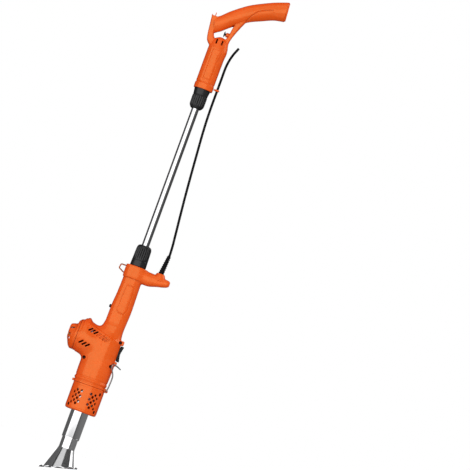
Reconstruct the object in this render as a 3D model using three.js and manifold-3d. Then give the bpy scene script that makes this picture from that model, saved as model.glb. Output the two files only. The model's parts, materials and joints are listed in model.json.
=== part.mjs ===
// Long-reach electric hot-air gun: a gun body with a side motor housing and a flared nozzle, on a
// steel pole that carries an upper handle with a loop.
//
// The pieces are drawn in millimetres round the pole: +Z runs up the pole, whose axis is x = 0, y = 0.
// The motor housing points to -X, the switch, the stand and the cable arm to +X, and the two body
// shells part at y = 0. The whole object is then set down so that its origin is the bottom centre of
// its bounding box.

import * as THREE from 'three';
import { mergeVertices } from 'three/addons/utils/BufferGeometryUtils.js';
import Module from 'manifold-3d';

const wasm = await Module();
wasm.setup();

// ---------------------------------------------------------------- driving dimensions

const SIDES = 18; // facets round a large section
const SMALL_SIDES = 10; // facets round a small one
const HOLLOW_SIDES = 12; // facets round a shell's hollow
const GAP = 0.3; // air between a piece and its neighbour
const WALL = 2.6; // moulded shell wall

const BOX_MIDDLE_X = 12.3; // middle of the whole object's width, from the pole's axis
const LOWEST_Z = -0.84; // lowest point of the nozzle's rim
const BARREL_X = -9.5; // axis of barrel, guard, heat tube and nozzle
const MOTOR_Z = 287; // height of the motor's axis, which lies along X

const NOZZLE = { neckRadius: 17, wall: 0.9, shoulderZ: 53.5, topZ: 91, coneAngle: 18.5 };
const RIM = { tiltDeg: 15.2, centreZ: 10.6, flange: 6.3, waves: 10, waveDepth: 1.3 };
const TUBE = { radius: 19, wall: 0.9, mouthZ: 76.6, topZ: 186, flangeRadius: 26 };
const GUARD = { radius: 34.2, wall: 2.4, bottomZ: 134.8, topZ: 192, corner: 5 };
const GUARD_HOLE = { radius: 2.3, pitch: 11.4, firstZ: 154.4, columnsDeg: [18, 27, 36, 47] };

const BODY_BOTTOM_Z = 192.5;
const BODY_TOP_Z = 460;
const CAP_X = -69.5; // joint between motor housing and end cap
const CAP_HUB = { z: 288, radius: 15.5, tipX: -90.3, channelZ: 282.5 };

const POLE = { radius: 8, wall: 1, bottomZ: 442, topZ: 905 };
const SOCKET = { radius: 13.4, bore: 8.5, seat: 10.7, flangeRadius: 16.4 };
const COLLET = { outer: 10.3, inner: 8.3, length: 13 };
const LOWER_COLLAR = { bottomZ: 461.2, topZ: 507.1 };
const UPPER_COLLAR = { bottomZ: 814.8, topZ: 862 };

const HANDLE_BOTTOM_Z = 858;
const ROCKER = { pivotX: 22, pivotZ: 275.8, halfLength: 16.6, halfWidth: 7.5 };
const BUTTON = { z: 364.9, radius: 3.5, tipX: -28.4 };
const STAND = { pivotX: 27.3, pivotZ: 193.2, legY: 14, wire: 1.05 };
const CABLE = { radius: 2.2, armX: 50.9, boot: [[50.9, 464], [54.6, 504.3]] };
const CLIP = { x: 30, z: 866, bore: 2.8, ring: 4.1 };

// ---------------------------------------------------------------- materials

const finish = (color, roughness, metalness = 0) =>
  new THREE.MeshStandardMaterial({ color, roughness, metalness });
const orangePlastic = () => finish(0xee5a1c, 0.42);
const blackPlastic = () => finish(0x262626, 0.5);
const rubber = () => finish(0x1c1c1c, 0.75);
const brightSteel = () => finish(0xd8dadc, 0.16, 1);
const plainSteel = () => finish(0x9a9c9e, 0.35, 1);
const mica = () => finish(0xb9a888, 0.6);
const brass = () => finish(0xb8923f, 0.35, 1);
const copper = () => finish(0xa8623c, 0.3, 1);
const boardGreen = () => finish(0x2c5a34, 0.5);

// ---------------------------------------------------------------- geometry helpers

const vec = (x, y, z) => new THREE.Vector3(x, y, z);

/** Turns a closed geometry's faces outwards and drops its zero-area triangles. */
function tidy(source) {
  const bare = source.clone();
  bare.deleteAttribute('normal');
  bare.deleteAttribute('uv');
  const geometry = mergeVertices(bare, 1e-4);
  const index = Array.from(geometry.index.array);
  const place = geometry.attributes.position;
  const corner = (i) => new THREE.Vector3().fromBufferAttribute(place, i);
  const triangles = [];
  let volume = 0;
  for (let i = 0; i < index.length; i += 3) {
    const [a, b, c] = index.slice(i, i + 3);
    if (a === b || b === c || c === a) continue;
    triangles.push([a, b, c]);
    volume += corner(a).dot(corner(b).cross(corner(c)));
  }
  const facing = volume < 0 ? triangles.map(([a, b, c]) => [a, c, b]) : triangles;
  geometry.setIndex(facing.flat());
  return geometry;
}

/** A Manifold solid made from a closed geometry. */
function solid(geometry) {
  const closed = tidy(geometry);
  return new wasm.Manifold(new wasm.Mesh({
    numProp: 3,
    vertProperties: new Float32Array(closed.attributes.position.array),
    triVerts: new Uint32Array(closed.index.array),
  }));
}

/** The geometry of a Manifold solid. */
function geometryOf(body) {
  const { vertProperties, triVerts } = body.getMesh();
  const geometry = new THREE.BufferGeometry();
  geometry.setAttribute('position', new THREE.BufferAttribute(vertProperties, 3));
  geometry.setIndex(new THREE.BufferAttribute(triVerts, 1));
  return geometry;
}

const join = (...bodies) => bodies.reduce((sum, body) => sum.add(body));
const cut = (body, ...tools) => tools.reduce((rest, tool) => rest.subtract(tool), body);

/** Skins equal rings of points. An open stack gets two end caps; a looped one closes on itself. */
function skin(rings, looped = false) {
  const sides = rings[0].length;
  const points = rings.flat();
  const index = [];
  const bands = looped ? rings.length : rings.length - 1;
  for (let r = 0; r < bands; r += 1) {
    const low = r * sides;
    const high = ((r + 1) % rings.length) * sides;
    for (let i = 0; i < sides; i += 1) {
      const j = (i + 1) % sides;
      index.push(low + i, low + j, high + j, low + i, high + j, high + i);
    }
  }
  if (!looped) {
    for (const [ring, first] of [[rings[0], 0], [rings.at(-1), (rings.length - 1) * sides]]) {
      const centre = ring.reduce((sum, p) => sum.add(p), vec(0, 0, 0)).divideScalar(sides);
      points.push(centre);
      for (let i = 0; i < sides; i += 1) {
        const pair = [first + i, first + ((i + 1) % sides)];
        index.push(points.length - 1, ...(first === 0 ? pair.reverse() : pair));
      }
    }
  }
  const geometry = new THREE.BufferGeometry().setFromPoints(points);
  geometry.setIndex(index);
  return geometry;
}

/** A closed section in the plane of Y and the chord between two XZ points; 2 is an ellipse. */
function section([from, to, halfWidth, squareness = 2], sides = SIDES) {
  const middle = vec((from[0] + to[0]) / 2, 0, (from[1] + to[1]) / 2);
  const half = vec((to[0] - from[0]) / 2, 0, (to[1] - from[1]) / 2);
  const bulge = (t) => Math.sign(t) * Math.abs(t) ** (2 / squareness);
  return Array.from({ length: sides }, (_, i) => {
    const angle = (2 * Math.PI * i) / sides;
    const point = middle.clone().addScaledVector(half, bulge(Math.cos(angle)));
    return point.add(vec(0, halfWidth * bulge(Math.sin(angle)), 0));
  });
}

/** The same sections drawn in by a wall thickness all round. */
function inset(sections, wall) {
  return sections.map(([from, to, halfWidth, squareness]) => {
    const length = Math.hypot(to[0] - from[0], to[1] - from[1]);
    const step = [(wall * (to[0] - from[0])) / length, (wall * (to[1] - from[1])) / length];
    const start = [from[0] + step[0], from[1] + step[1]];
    const end = [to[0] - step[0], to[1] - step[1]];
    return [start, end, halfWidth - wall, squareness];
  });
}

const loft = (sections, sides) => skin(sections.map((one) => section(one, sides)));

/** Sections at given heights: [z, left x, right x, half width, squareness]. */
const upright = (rows) => rows.map(([z, left, right, ...rest]) => [[left, z], [right, z], ...rest]);

/** Sections at given x: [x, low z, high z, half width, squareness]. */
const sideways = (rows) => rows.map(([x, low, high, ...rest]) => [[x, low], [x, high], ...rest]);

/** A turned piece about Z, from [radius, z] points. A ring's profile is closed by this function. */
function turned(profile, { sides = SIDES, x = 0, y = 0, ring = true } = {}) {
  const outline = ring ? [...profile, profile[0]] : profile;
  const points = outline.map(([radius, z]) => new THREE.Vector2(radius, z));
  return new THREE.LatheGeometry(points, sides).rotateX(Math.PI / 2).translate(x, y, 0);
}

/** A turned piece about an X axis at height z, from [radius, x] points. */
function turnedAlongX(profile, { sides = SIDES, y = 0, z = 0, ring = true } = {}) {
  const outline = ring ? [...profile, profile[0]] : profile;
  const points = outline.map(([radius, x]) => new THREE.Vector2(radius, x));
  return new THREE.LatheGeometry(points, sides).rotateZ(-Math.PI / 2).translate(0, y, z);
}

const tubeProfile = (outer, inner, from, to) => [[inner, from], [outer, from], [outer, to], [inner, to]];
const rodProfile = (radius, from, to) => [[0, from], [radius, from], [radius, to], [0, to]];

/** A box from its lowest corner to its highest. */
function block([x0, y0, z0], [x1, y1, z1]) {
  const box = new THREE.BoxGeometry(x1 - x0, y1 - y0, z1 - z0);
  return box.translate((x0 + x1) / 2, (y0 + y1) / 2, (z0 + z1) / 2);
}

/** A cylinder lying along Y between two y values, at an XZ point. */
function crossBar([x, z], radius, y0, y1, sides = SMALL_SIDES) {
  return new THREE.CylinderGeometry(radius, radius, y1 - y0, sides).translate(x, (y0 + y1) / 2, z);
}

/** A round bar swept along a curve through the given points. */
function sweptBar(points, radius, steps, sides = 6) {
  const outline = new THREE.Shape();
  for (let i = 0; i < sides; i += 1) {
    const angle = (2 * Math.PI * i) / sides;
    const [x, y] = [radius * Math.cos(angle), radius * Math.sin(angle)];
    if (i === 0) outline.moveTo(x, y);
    else outline.lineTo(x, y);
  }
  outline.closePath();
  const curve = new THREE.CatmullRomCurve3(points, false, 'centripetal');
  return new THREE.ExtrudeGeometry(outline, { steps, bevelEnabled: false, extrudePath: curve });
}

const [[BOOT_X, BOOT_Z], [BOOT_TIP_X, BOOT_TIP_Z]] = CABLE.boot;
const BOOT_LEAN = (BOOT_TIP_X - BOOT_X) / (BOOT_TIP_Z - BOOT_Z);

/** Leans a piece drawn round the Z axis so that it follows the boot's axis. */
const alongBoot = (geometry) =>
  geometry.translate(0, 0, -BOOT_Z).rotateY(Math.atan(BOOT_LEAN)).translate(BOOT_X, 0, BOOT_Z);

const FAR = 2000;
const BACK_HALF = solid(block([-FAR, GAP / 2, -FAR], [FAR, FAR, FAR]));
const FRONT_HALF = solid(block([-FAR, -FAR, -FAR], [FAR, -GAP / 2, FAR]));

/** A rigid body carried by another: its pieces move together. */
function bodyOn(parent) {
  const body = new THREE.Group();
  parent.add(body);
  return body;
}

const gun = new THREE.Group();
gun.position.set(-BOX_MIDDLE_X, 0, -LOWEST_Z);
const pole = bodyOn(gun);
const handle = bodyOn(pole);
const fan = bodyOn(gun);

/** Adds one named piece to a body. */
function add(name, shape, material, body = gun) {
  const geometry = shape instanceof THREE.BufferGeometry ? tidy(shape) : geometryOf(shape);
  const mesh = new THREE.Mesh(geometry, material);
  mesh.name = name;
  body.add(mesh);
}

// ---------------------------------------------------------------- screws

const SCREW = { head: 3, headHeight: 2, shank: 1.4, clearance: 1.8, sinkBore: 3.5, boss: 5 };

/** A pan-head screw along +Y: its head's top at y = 0, its shank running to y = length. */
function screwShape(length) {
  const profile = [
    [0, 0], [SCREW.head, 0.5], [SCREW.head, SCREW.headHeight], [SCREW.shank, SCREW.headHeight],
    [SCREW.shank, length], [0, length],
  ];
  const points = profile.map(([radius, y]) => new THREE.Vector2(radius, y));
  return new THREE.LatheGeometry(points, 6);
}

/** Case screws across the parting plane: [x, z], the y of the head's top, and the way they point. */
const BODY_SCREWS = [
  { name: 'case_screw_barrel_left', at: [-40, 244.6], headY: -11, way: 1 },
  { name: 'case_screw_barrel_right', at: [19, 244.6], headY: -13, way: 1 },
  { name: 'case_screw_switch', at: [21, 298.5], headY: -7, way: 1 },
];
const HANDLE_SCREWS = [
  { name: 'handle_screw_tube', at: [0.8, 930], headY: 13, way: -1 },
  { name: 'handle_screw_loop', at: [19, 1018], headY: 9, way: -1 },
  { name: 'handle_screw_grip', at: [84, 1067], headY: 11, way: -1 },
];
const SCREW_LENGTH = 18;

/** The boss, the counterbore and the shank hole that one case screw needs in its shells. */
function screwSeat({ at, headY, way }, outer) {
  const boss = solid(crossBar(at, SCREW.boss, -60, 60)).intersect(outer);
  const seatY = headY + way * SCREW.headHeight;
  const away = -way * FAR;
  const sink = crossBar(at, SCREW.sinkBore, Math.min(seatY, away), Math.max(seatY, away));
  const tipY = headY + way * (SCREW_LENGTH + 1);
  const hole = crossBar(at, SCREW.clearance, Math.min(seatY, tipY), Math.max(seatY, tipY), 8);
  return { boss, hole: solid(sink).add(solid(hole)) };
}

function addCaseScrews(screws, body) {
  for (const { name, at, headY, way } of screws) {
    const shape = screwShape(SCREW_LENGTH);
    if (way < 0) shape.rotateZ(Math.PI);
    add(name, shape.translate(at[0], headY, at[1]), plainSteel(), body);
  }
}

/** Splits a shell solid at the parting plane into a back (+Y) and a front (-Y) half. */
function addHalves(backName, frontName, shell, body) {
  add(backName, shell.intersect(BACK_HALF), orangePlastic(), body);
  add(frontName, shell.intersect(FRONT_HALF), orangePlastic(), body);
}

// ---------------------------------------------------------------- gun body shells

const BARREL_SECTIONS = upright([
  [BODY_BOTTOM_Z, -45, 24, 34.2],
  [226, -45.6, 25, 34.5],
  [245, -45.6, 25.4, 34.5, 2.1],
  [258, -45.2, 24.2, 34, 2.1],
  [296, -43, 23.6, 31, 2.2],
  [305, -38, 20.2, 27, 2.2],
  [322, -28, 18.6, 22.5, 2.2],
  [336, -25, 19.2, 20, 2.2],
  [366, -24.6, 20.5, 19, 2.2],
  [400, -22.2, 19.8, 18.5, 2.2],
  [429, -21.4, 19.2, 18.5, 2.2],
  [437, -24, 22.6, 21, 2.2],
  [457, -24, 22.6, 21.5, 2.2],
  [BODY_TOP_Z, -21.5, 20.5, 19.5, 2.2],
]);
const MOTOR_SECTIONS = sideways([
  [CAP_X, 252, 319, 35],
  [-60, 250, 324.4, 36],
  [-55.5, 249, 326.6, 36.5],
  [-47, 247, 321, 36],
  [-36, 246, 318.5, 34.5],
  [-20, 250, 316, 30],
]);
const ARM_SECTIONS = sideways([
  [5, 431, 459, 19, 2.6],
  [29.4, 429, 458.3, 16, 2.6],
  [52.5, 434.7, 456.6, 13.5, 2.6],
  [70, 439.5, 455, 11.5, 2.6],
  [75.6, 443.5, 452, 7.5, 2.6],
]);

/** Lowest and highest z of the two ears that the rocker sits between. */
const EARS_Z = [[249, 258], [293.6, 303.5]];

function addBodyShells() {
  const barrel = solid(loft(BARREL_SECTIONS));
  const motor = solid(loft(MOTOR_SECTIONS));
  const arm = solid(loft(ARM_SECTIONS));
  const cableBoss = solid(turned(
    [[0, 448], [11.5, 448], [11.5, 456.5], [8.5, 463.2], [0, 463.2]],
    { sides: SMALL_SIDES, x: CABLE.armX, ring: false },
  ));
  const guardRoom = solid(turned(rodProfile(GUARD.radius + GAP, 150, BODY_BOTTOM_Z), {
    x: BARREL_X, ring: false,
  }));
  const standLug = join(
    cut(solid(crossBar([STAND.pivotX, STAND.pivotZ], 3.4, -11, 11)), guardRoom),
    solid(block([21.6, -11, BODY_BOTTOM_Z], [STAND.pivotX, 11, 196.4])),
  );
  const backLug = solid(block([-48.2, -6, BODY_BOTTOM_Z], [-42, 6, 197.5]));
  const switchEars = EARS_Z.map(([low, high]) => solid(block([8, -9, low], [28.4, 9, high])));
  const outer = join(barrel, motor, arm, cableBoss, standLug, backLug, ...switchEars);

  const barrelHollow = inset(BARREL_SECTIONS, WALL);
  barrelHollow[0][0][1] -= 5; // the hollow runs out through the open bottom
  barrelHollow[0][1][1] -= 5;
  barrelHollow.pop();
  const motorHollow = inset(MOTOR_SECTIONS, WALL);
  motorHollow[0][0][0] -= 5; // and through the open end under the end cap
  motorHollow[0][1][0] -= 5;
  const armHollow = inset(ARM_SECTIONS, WALL).slice(0, -1);

  const seats = BODY_SCREWS.map((screw) => screwSeat(screw, outer));
  const switchWindow = block(
    [16, -ROCKER.halfWidth - 0.8, ROCKER.pivotZ - ROCKER.halfLength - 1.6],
    [40, ROCKER.halfWidth + 0.8, ROCKER.pivotZ + ROCKER.halfLength + 1.6],
  );
  const buttonHole = turnedAlongX(rodProfile(BUTTON.radius + 0.5, -40, -15), {
    sides: SMALL_SIDES, z: BUTTON.z, ring: false,
  });
  const socketHole = turned(rodProfile(SOCKET.radius + 0.6, 440, 470), { ring: false });
  const cableHole = alongBoot(turned(rodProfile(6.3, 449, 475), { sides: SMALL_SIDES, ring: false }));
  const ringSlots = RING_ENDS_Z.map((z) => block([-40, -4.2, z - 1.9], [-15.5, 4.2, z + 1.9]));
  const standHole = crossBar([STAND.pivotX, STAND.pivotZ], 1.6, -20, 20, 8);
  const hollows = [barrelHollow, motorHollow, armHollow].map((rows) => solid(loft(rows, HOLLOW_SIDES)));
  const shell = join(cut(outer, ...hollows), ...seats.map((seat) => seat.boss));
  const windows = [switchWindow, buttonHole, socketHole, cableHole, standHole, ...ringSlots];
  const finished = cut(shell, ...windows.map(solid), ...seats.map((seat) => seat.hole));
  addHalves('body_shell_left', 'body_shell_right', finished, gun);
  addCaseScrews(BODY_SCREWS, gun);
}

/** End cap of the motor housing: a dome with air slots, and a hub crossed by an open channel. */
function addMotorEndCap() {
  const sections = sideways([
    [CAP_X - GAP, 252.2, 318.6, 34.8],
    [-75.6, 252.4, 313.5, 31.5],
    [-81.5, 256, 306.5, 26],
    [-85.6, 262.5, 304, 20],
  ]);
  const hollow = inset(sections, WALL).slice(0, -1);
  hollow[0][0][0] += 5;
  hollow[0][1][0] += 5;
  const onHubAxis = { z: CAP_HUB.z, ring: false };
  const { radius, tipX } = CAP_HUB;
  const hub = turnedAlongX([
    [0, -80], [radius, -80], [radius, tipX + 2.4], [radius - 2.4, tipX], [0, tipX],
  ], onHubAxis);
  const hubHollow = turnedAlongX(rodProfile(radius - WALL, -75, tipX + WALL), onHubAxis);
  const channel = block([-100, -30, CAP_HUB.channelZ - 4], [tipX + 4.1, 30, CAP_HUB.channelZ + 4]);
  const slots = [];
  for (let i = 0; i < 6; i += 1) {
    const slot = block([-100, 18, -1.7], [-73, 25, 1.7]);
    slots.push(slot.rotateX((Math.PI * (2 * i + 1)) / 6).translate(0, 0, MOTOR_Z - 3));
  }
  const dome = join(solid(loft(sections)), solid(hub));
  const openings = [loft(hollow, HOLLOW_SIDES), hubHollow, channel, ...slots];
  add('motor_end_cap', cut(dome, ...openings.map(solid)), orangePlastic());
}

// ---------------------------------------------------------------- heat end

/** A radial direction's turn about the barrel axis, measured from -Y (front) towards +X. */
const aroundBarrel = (geometry, degrees, z) =>
  geometry.rotateZ(THREE.MathUtils.degToRad(degrees)).translate(BARREL_X, 0, z);

const GUARD_SCREWS = [
  { name: 'guard_screw_front_left', degrees: -56, z: 143.4 },
  { name: 'guard_screw_front_right', degrees: 56, z: 143.4 },
  { name: 'guard_screw_back_right', degrees: 124, z: 143.4 },
  { name: 'guard_screw_back_left', degrees: 236, z: 143.4 },
  { name: 'guard_screw_upper_front', degrees: 55, z: 182 },
  { name: 'guard_screw_upper_back', degrees: 125, z: 182 },
];
const GUARD_SCREW_SINK = 1.2; // how far a guard screw's head sits below the surface
const GUARD_SCREW_LENGTH = 6;

function addGuard() {
  const { radius, wall, bottomZ, topZ, corner } = GUARD;
  const inner = radius - wall;
  const mouth = TUBE.radius + 1.2;
  const chamfer = corner * 0.3;
  const profile = [
    [mouth, bottomZ], [radius - corner, bottomZ], [radius - chamfer, bottomZ + chamfer],
    [radius, bottomZ + corner], [radius, topZ], [28.5, topZ], [28.5, topZ + 6], [26.8, topZ + 6],
    [26.8, topZ - 3], [inner, topZ - 7], [inner, bottomZ + corner], [inner - 3, bottomZ + wall],
    [mouth, bottomZ + wall],
  ];
  let guard = solid(turned(profile, { x: BARREL_X }));
  const holes = [];
  // Alternate columns are set half a pitch lower; on the back it is the other columns that are.
  GUARD_HOLE.columnsDeg.forEach((column, order) => {
    for (const [degrees, lowered] of [
      [column, order % 2], [-column, order % 2], [180 + column, 1 - (order % 2)],
      [180 - column, 1 - (order % 2)],
    ]) {
      for (let row = 0; row < 3; row += 1) {
        const z = GUARD_HOLE.firstZ + GUARD_HOLE.pitch * (row - 0.48 * lowered);
        const hole = crossBar([0, 0], GUARD_HOLE.radius, -radius - 2, -inner + 2, 4);
        holes.push(aroundBarrel(hole, degrees, z));
      }
    }
  });
  for (const { name, degrees, z } of GUARD_SCREWS) {
    const boss = crossBar([0, 0], SCREW.boss, -radius + 0.8, -inner + 4, 6);
    guard = guard.add(solid(aroundBarrel(boss, degrees, z)));
    const headY = -radius + GUARD_SCREW_SINK;
    const sink = crossBar([0, 0], SCREW.sinkBore, -radius - 4, headY + SCREW.headHeight, 6);
    const bore = crossBar([0, 0], SCREW.clearance, headY, -inner + 5, 6);
    holes.push(aroundBarrel(sink, degrees, z), aroundBarrel(bore, degrees, z));
    const screw = screwShape(GUARD_SCREW_LENGTH).translate(0, headY, 0);
    add(name, aroundBarrel(screw, degrees, z), plainSteel());
  }
  add('heat_guard', cut(guard, ...holes.map(solid)), orangePlastic());
}

function addHeatTube() {
  const { radius, wall, mouthZ, topZ, flangeRadius } = TUBE;
  const profile = [
    [radius - wall, mouthZ], [radius, mouthZ], [radius, topZ - 1.5], [flangeRadius, topZ - 1.5],
    [flangeRadius, topZ], [radius - wall, topZ],
  ];
  add('heat_tube', turned(profile, { x: BARREL_X }), brightSteel());
}

/** Flared nozzle: a straight neck, then a cone cut off by the tilted plane of its scalloped rim. */
function addNozzle() {
  const sides = 30;
  const slope = Math.tan(THREE.MathUtils.degToRad(RIM.tiltDeg));
  const flare = Math.tan(THREE.MathUtils.degToRad(NOZZLE.coneAngle));
  const ring = (place) => Array.from({ length: sides }, (_, i) => {
    const angle = (2 * Math.PI * i) / sides;
    const [radius, z] = place(angle);
    return vec(BARREL_X + radius * Math.cos(angle), radius * Math.sin(angle), z);
  });
  // On the rim plane z = centreZ + slope * dx, the wall's radius solves its own cone equation.
  const rimRadius = (angle, neck) => {
    const rise = NOZZLE.shoulderZ - RIM.centreZ;
    return (neck + flare * rise) / (1 + flare * slope * Math.cos(angle));
  };
  const onPlane = (radius, angle) => RIM.centreZ + slope * radius * Math.cos(angle);
  const edge = (angle, grow) => {
    const wave = RIM.waveDepth * Math.cos(RIM.waves * angle);
    return rimRadius(angle, NOZZLE.neckRadius) + RIM.flange + grow + wave;
  };
  const { neckRadius, wall, shoulderZ, topZ } = NOZZLE;
  const inner = neckRadius - wall;
  const rings = [
    ring(() => [neckRadius, topZ]),
    ring(() => [neckRadius, shoulderZ]),
    ring((a) => {
      const radius = rimRadius(a, neckRadius);
      return [radius, onPlane(radius, a) + wall];
    }),
    ring((a) => {
      const radius = edge(a, 0);
      return [radius, onPlane(radius, a) + wall];
    }),
    ring((a) => {
      const radius = edge(a, 0);
      return [radius, onPlane(radius, a)];
    }),
    ring((a) => {
      const radius = rimRadius(a, inner);
      return [radius, onPlane(radius, a)];
    }),
    ring(() => [inner, shoulderZ]),
    ring(() => [inner, topZ]),
  ];
  add('nozzle', skin(rings, true), brightSteel(), bodyOn(gun));
}

function addHeater() {
  const mouth = NOZZLE.topZ + 5;
  const micaProfile = tubeProfile(17.4, 16.8, mouth, 182);
  add('mica_tube', turned(micaProfile, { x: BARREL_X }), mica());

  const former = join(
    solid(block([-10, -0.8, mouth + 2], [10, 0.8, 180])),
    solid(block([-0.8, -10, mouth + 2], [0.8, 10, 180])),
  );
  add('heater_core', former.translate([BARREL_X, 0, 0]), mica());

  const turns = 5;
  const perTurn = 10;
  const path = Array.from({ length: turns * perTurn + 1 }, (_, i) => {
    const angle = (2 * Math.PI * i) / perTurn;
    const z = 104 + (72 * i) / (turns * perTurn);
    return vec(BARREL_X + 13 * Math.cos(angle), 13 * Math.sin(angle), z);
  });
  add('heating_coil', sweptBar(path, 0.8, turns * perTurn, 4), plainSteel());
}

// ---------------------------------------------------------------- motor and fan

function addMotor() {
  const axis = { z: MOTOR_Z };
  add('motor_can', turnedAlongX(tubeProfile(17.5, 4.4, -46, -2), axis), plainSteel());
  const small = { z: MOTOR_Z, sides: SMALL_SIDES };
  add('motor_bush_outer', turnedAlongX(tubeProfile(4.1, 2.15, -46, -41), small), brass());
  add('motor_bush_inner', turnedAlongX(tubeProfile(4.1, 2.15, -7, -2), small), brass());
  const shaft = turnedAlongX(rodProfile(2, -66, 1), { ...small, ring: false });
  add('motor_shaft', shaft, brightSteel(), fan);
  add('motor_bracket', turnedAlongX(tubeProfile(29, 17.9, -44, -41), axis), plainSteel());

  const disc = solid(turnedAlongX(tubeProfile(27.5, 2.4, -52, -50), axis));
  const hub = solid(turnedAlongX(tubeProfile(6, 2.4, -63, -51), axis));
  const blades = Array.from({ length: 9 }, (_, i) => {
    const blade = block([-62, 5.4, -0.8], [-51.5, 27, 0.8]);
    return solid(blade.rotateX((2 * Math.PI * i) / 9).translate(0, 0, MOTOR_Z));
  });
  add('impeller', join(disc, hub, ...blades), blackPlastic(), fan);
}

// ---------------------------------------------------------------- switch, button, stand, ring

function addSwitch() {
  const { pivotX, pivotZ, halfLength, halfWidth } = ROCKER;
  const outline = new THREE.Shape();
  outline.moveTo(pivotX - 0.7, -3);
  outline.lineTo(pivotX + 2.4, -halfLength);
  outline.lineTo(pivotX + 9, -halfLength);
  outline.quadraticCurveTo(pivotX + 6.2, 0, pivotX + 9, halfLength);
  outline.lineTo(pivotX + 2.4, halfLength);
  outline.lineTo(pivotX - 0.7, 3);
  outline.closePath();
  const shape = new THREE.ExtrudeGeometry(outline, {
    depth: 2 * halfWidth, bevelEnabled: false, curveSegments: 6,
  });
  shape.rotateX(Math.PI / 2).translate(0, halfWidth, pivotZ);
  add('rocker_switch', shape, blackPlastic(), bodyOn(gun));
  add('switch_body', block([4, -8, 259.5], [20.6, 8, 292]), blackPlastic());
}

function addGripButton() {
  const { z, radius, tipX } = BUTTON;
  const profile = [
    [0, tipX], [radius - 0.8, tipX], [radius, tipX + 0.8], [radius, -20.4], [radius + 1.2, -20.4],
    [radius + 1.2, -18.9], [0, -18.9],
  ];
  const button = turnedAlongX(profile, { sides: SMALL_SIDES, z, ring: false });
  add('grip_button', button, blackPlastic(), bodyOn(gun));

  const turns = 3;
  const perTurn = 6;
  const path = Array.from({ length: turns * perTurn + 1 }, (_, i) => {
    const angle = (2 * Math.PI * i) / perTurn;
    const x = -15.8 + (5.4 * i) / (turns * perTurn);
    return vec(x, 2.2 * Math.cos(angle), z + 2.2 * Math.sin(angle));
  });
  add('button_spring', sweptBar(path, 0.3, turns * perTurn, 4), plainSteel());
  add('button_switch', block([-9.6, -4, z - 6], [-2, 4, z + 6]), blackPlastic());
  add('circuit_board', block([-12, 5, 384], [10, 6.6, 416]), boardGreen());
}

/** Wire bail whose ends turn inwards into the lug and whose crest is bent out into a finger loop. */
function addStand() {
  const { pivotX, pivotZ, legY, wire } = STAND;
  const side = [
    [pivotX + 0.6, legY - 0.4, pivotZ + 2],
    [29.6, legY + 0.2, 206], [31.2, legY + 1, 219], [30.2, 16.6, 229.5], [25.4, 19, 237.5],
    [22, 20.4, 243.5], [21.8, 20.6, 248.5], [24, 19.4, 251.4], [31, 12.5, 250], [37.4, 4.6, 247.2],
  ];
  const near = [[pivotX, 7, pivotZ], [pivotX, legY - 1.6, pivotZ], ...side];
  const crest = [[39.6, 0, 246.4]];
  const far = near.map(([x, y, z]) => [x, -y, z]).reverse();
  const path = [...near, ...crest, ...far].map(([x, y, z]) => vec(x, y, z));
  add('wire_stand', sweptBar(path, wire, 44, 5), plainSteel(), bodyOn(gun));
}

/** Heights at which the strap ring's two ends enter the body. */
const RING_ENDS_Z = [440.5, 455.5];

function addStrapRing() {
  const path = [
    [-19.5, RING_ENDS_Z[0]], [-25, RING_ENDS_Z[0] + 0.2], [-30.5, 442], [-36, 446], [-36, 448.5],
    [-34.4, 454], [-32.5, 455.6], [-26, RING_ENDS_Z[1]], [-19.5, RING_ENDS_Z[1]],
  ].map(([x, z]) => vec(x, 0, z));
  add('strap_ring', sweptBar(path, 1.15, 16, 5), copper(), bodyOn(gun));
}

// ---------------------------------------------------------------- pole joints

/**
 * Socket, collet and collar of one pole joint. The shape is drawn for a joint that opens upwards
 * from baseZ; a joint that opens downwards is its mirror image.
 */
function addPoleJoint({ prefix, body, baseZ, way, rootLength, collarProfile }) {
  const at = ([radius, along]) => [radius, baseZ + way * along];
  const { radius, bore, seat, flangeRadius } = SOCKET;
  const top = 36;
  const socket = [
    [bore, -rootLength], [radius, -rootLength], [radius, -rootLength + 4],
    [flangeRadius, -rootLength + 4], [flangeRadius, -rootLength + 8], [radius, -rootLength + 8],
    [radius, top], [seat, top], [seat, top - COLLET.length], [bore, top - COLLET.length],
  ];
  add(`${prefix}_socket`, turned(socket.map(at)), blackPlastic(), body);
  const colletBase = top - COLLET.length + GAP;
  const collet = tubeProfile(COLLET.outer, COLLET.inner, colletBase, top + 1.5);
  const slit = block([0, -0.7, -FAR], [FAR, 0.7, FAR]);
  add(`${prefix}_collet`, cut(solid(turned(collet.map(at))), solid(slit)), blackPlastic(), body);
  add(`${prefix}_collar`, turned(collarProfile.map(at)), blackPlastic(), bodyOn(body));
}

function addPole() {
  const { radius, wall, bottomZ, topZ } = POLE;
  add('pole', turned(tubeProfile(radius, radius - wall, bottomZ, topZ)), brightSteel(), pole);

  // A collar's outside runs from its base to its tip; its inside comes back down to the base.
  const collarBore = SOCKET.radius + 0.6;
  const inside = (length) => [
    [8.6, length], [8.6, length - 3], [11.5, 38.2], [collarBore, 37], [collarBore, 0],
  ];
  const lowerLength = LOWER_COLLAR.topZ - LOWER_COLLAR.bottomZ;
  addPoleJoint({
    prefix: 'lower',
    body: gun,
    baseZ: LOWER_COLLAR.bottomZ,
    way: 1,
    rootLength: 27,
    collarProfile: [
      [17.3, 0], [16.9, 14], [16.1, 38], [14.6, 43], [10.5, lowerLength], ...inside(lowerLength),
    ],
  });
  const upperLength = UPPER_COLLAR.topZ - UPPER_COLLAR.bottomZ;
  addPoleJoint({
    prefix: 'upper',
    body: handle,
    baseZ: UPPER_COLLAR.topZ,
    way: -1,
    rootLength: 14,
    collarProfile: [
      [17.2, 0], [17.2, 5], [15.2, 17], [15, 40], [10.6, upperLength], ...inside(upperLength),
    ],
  });
}

// ---------------------------------------------------------------- cable

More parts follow.
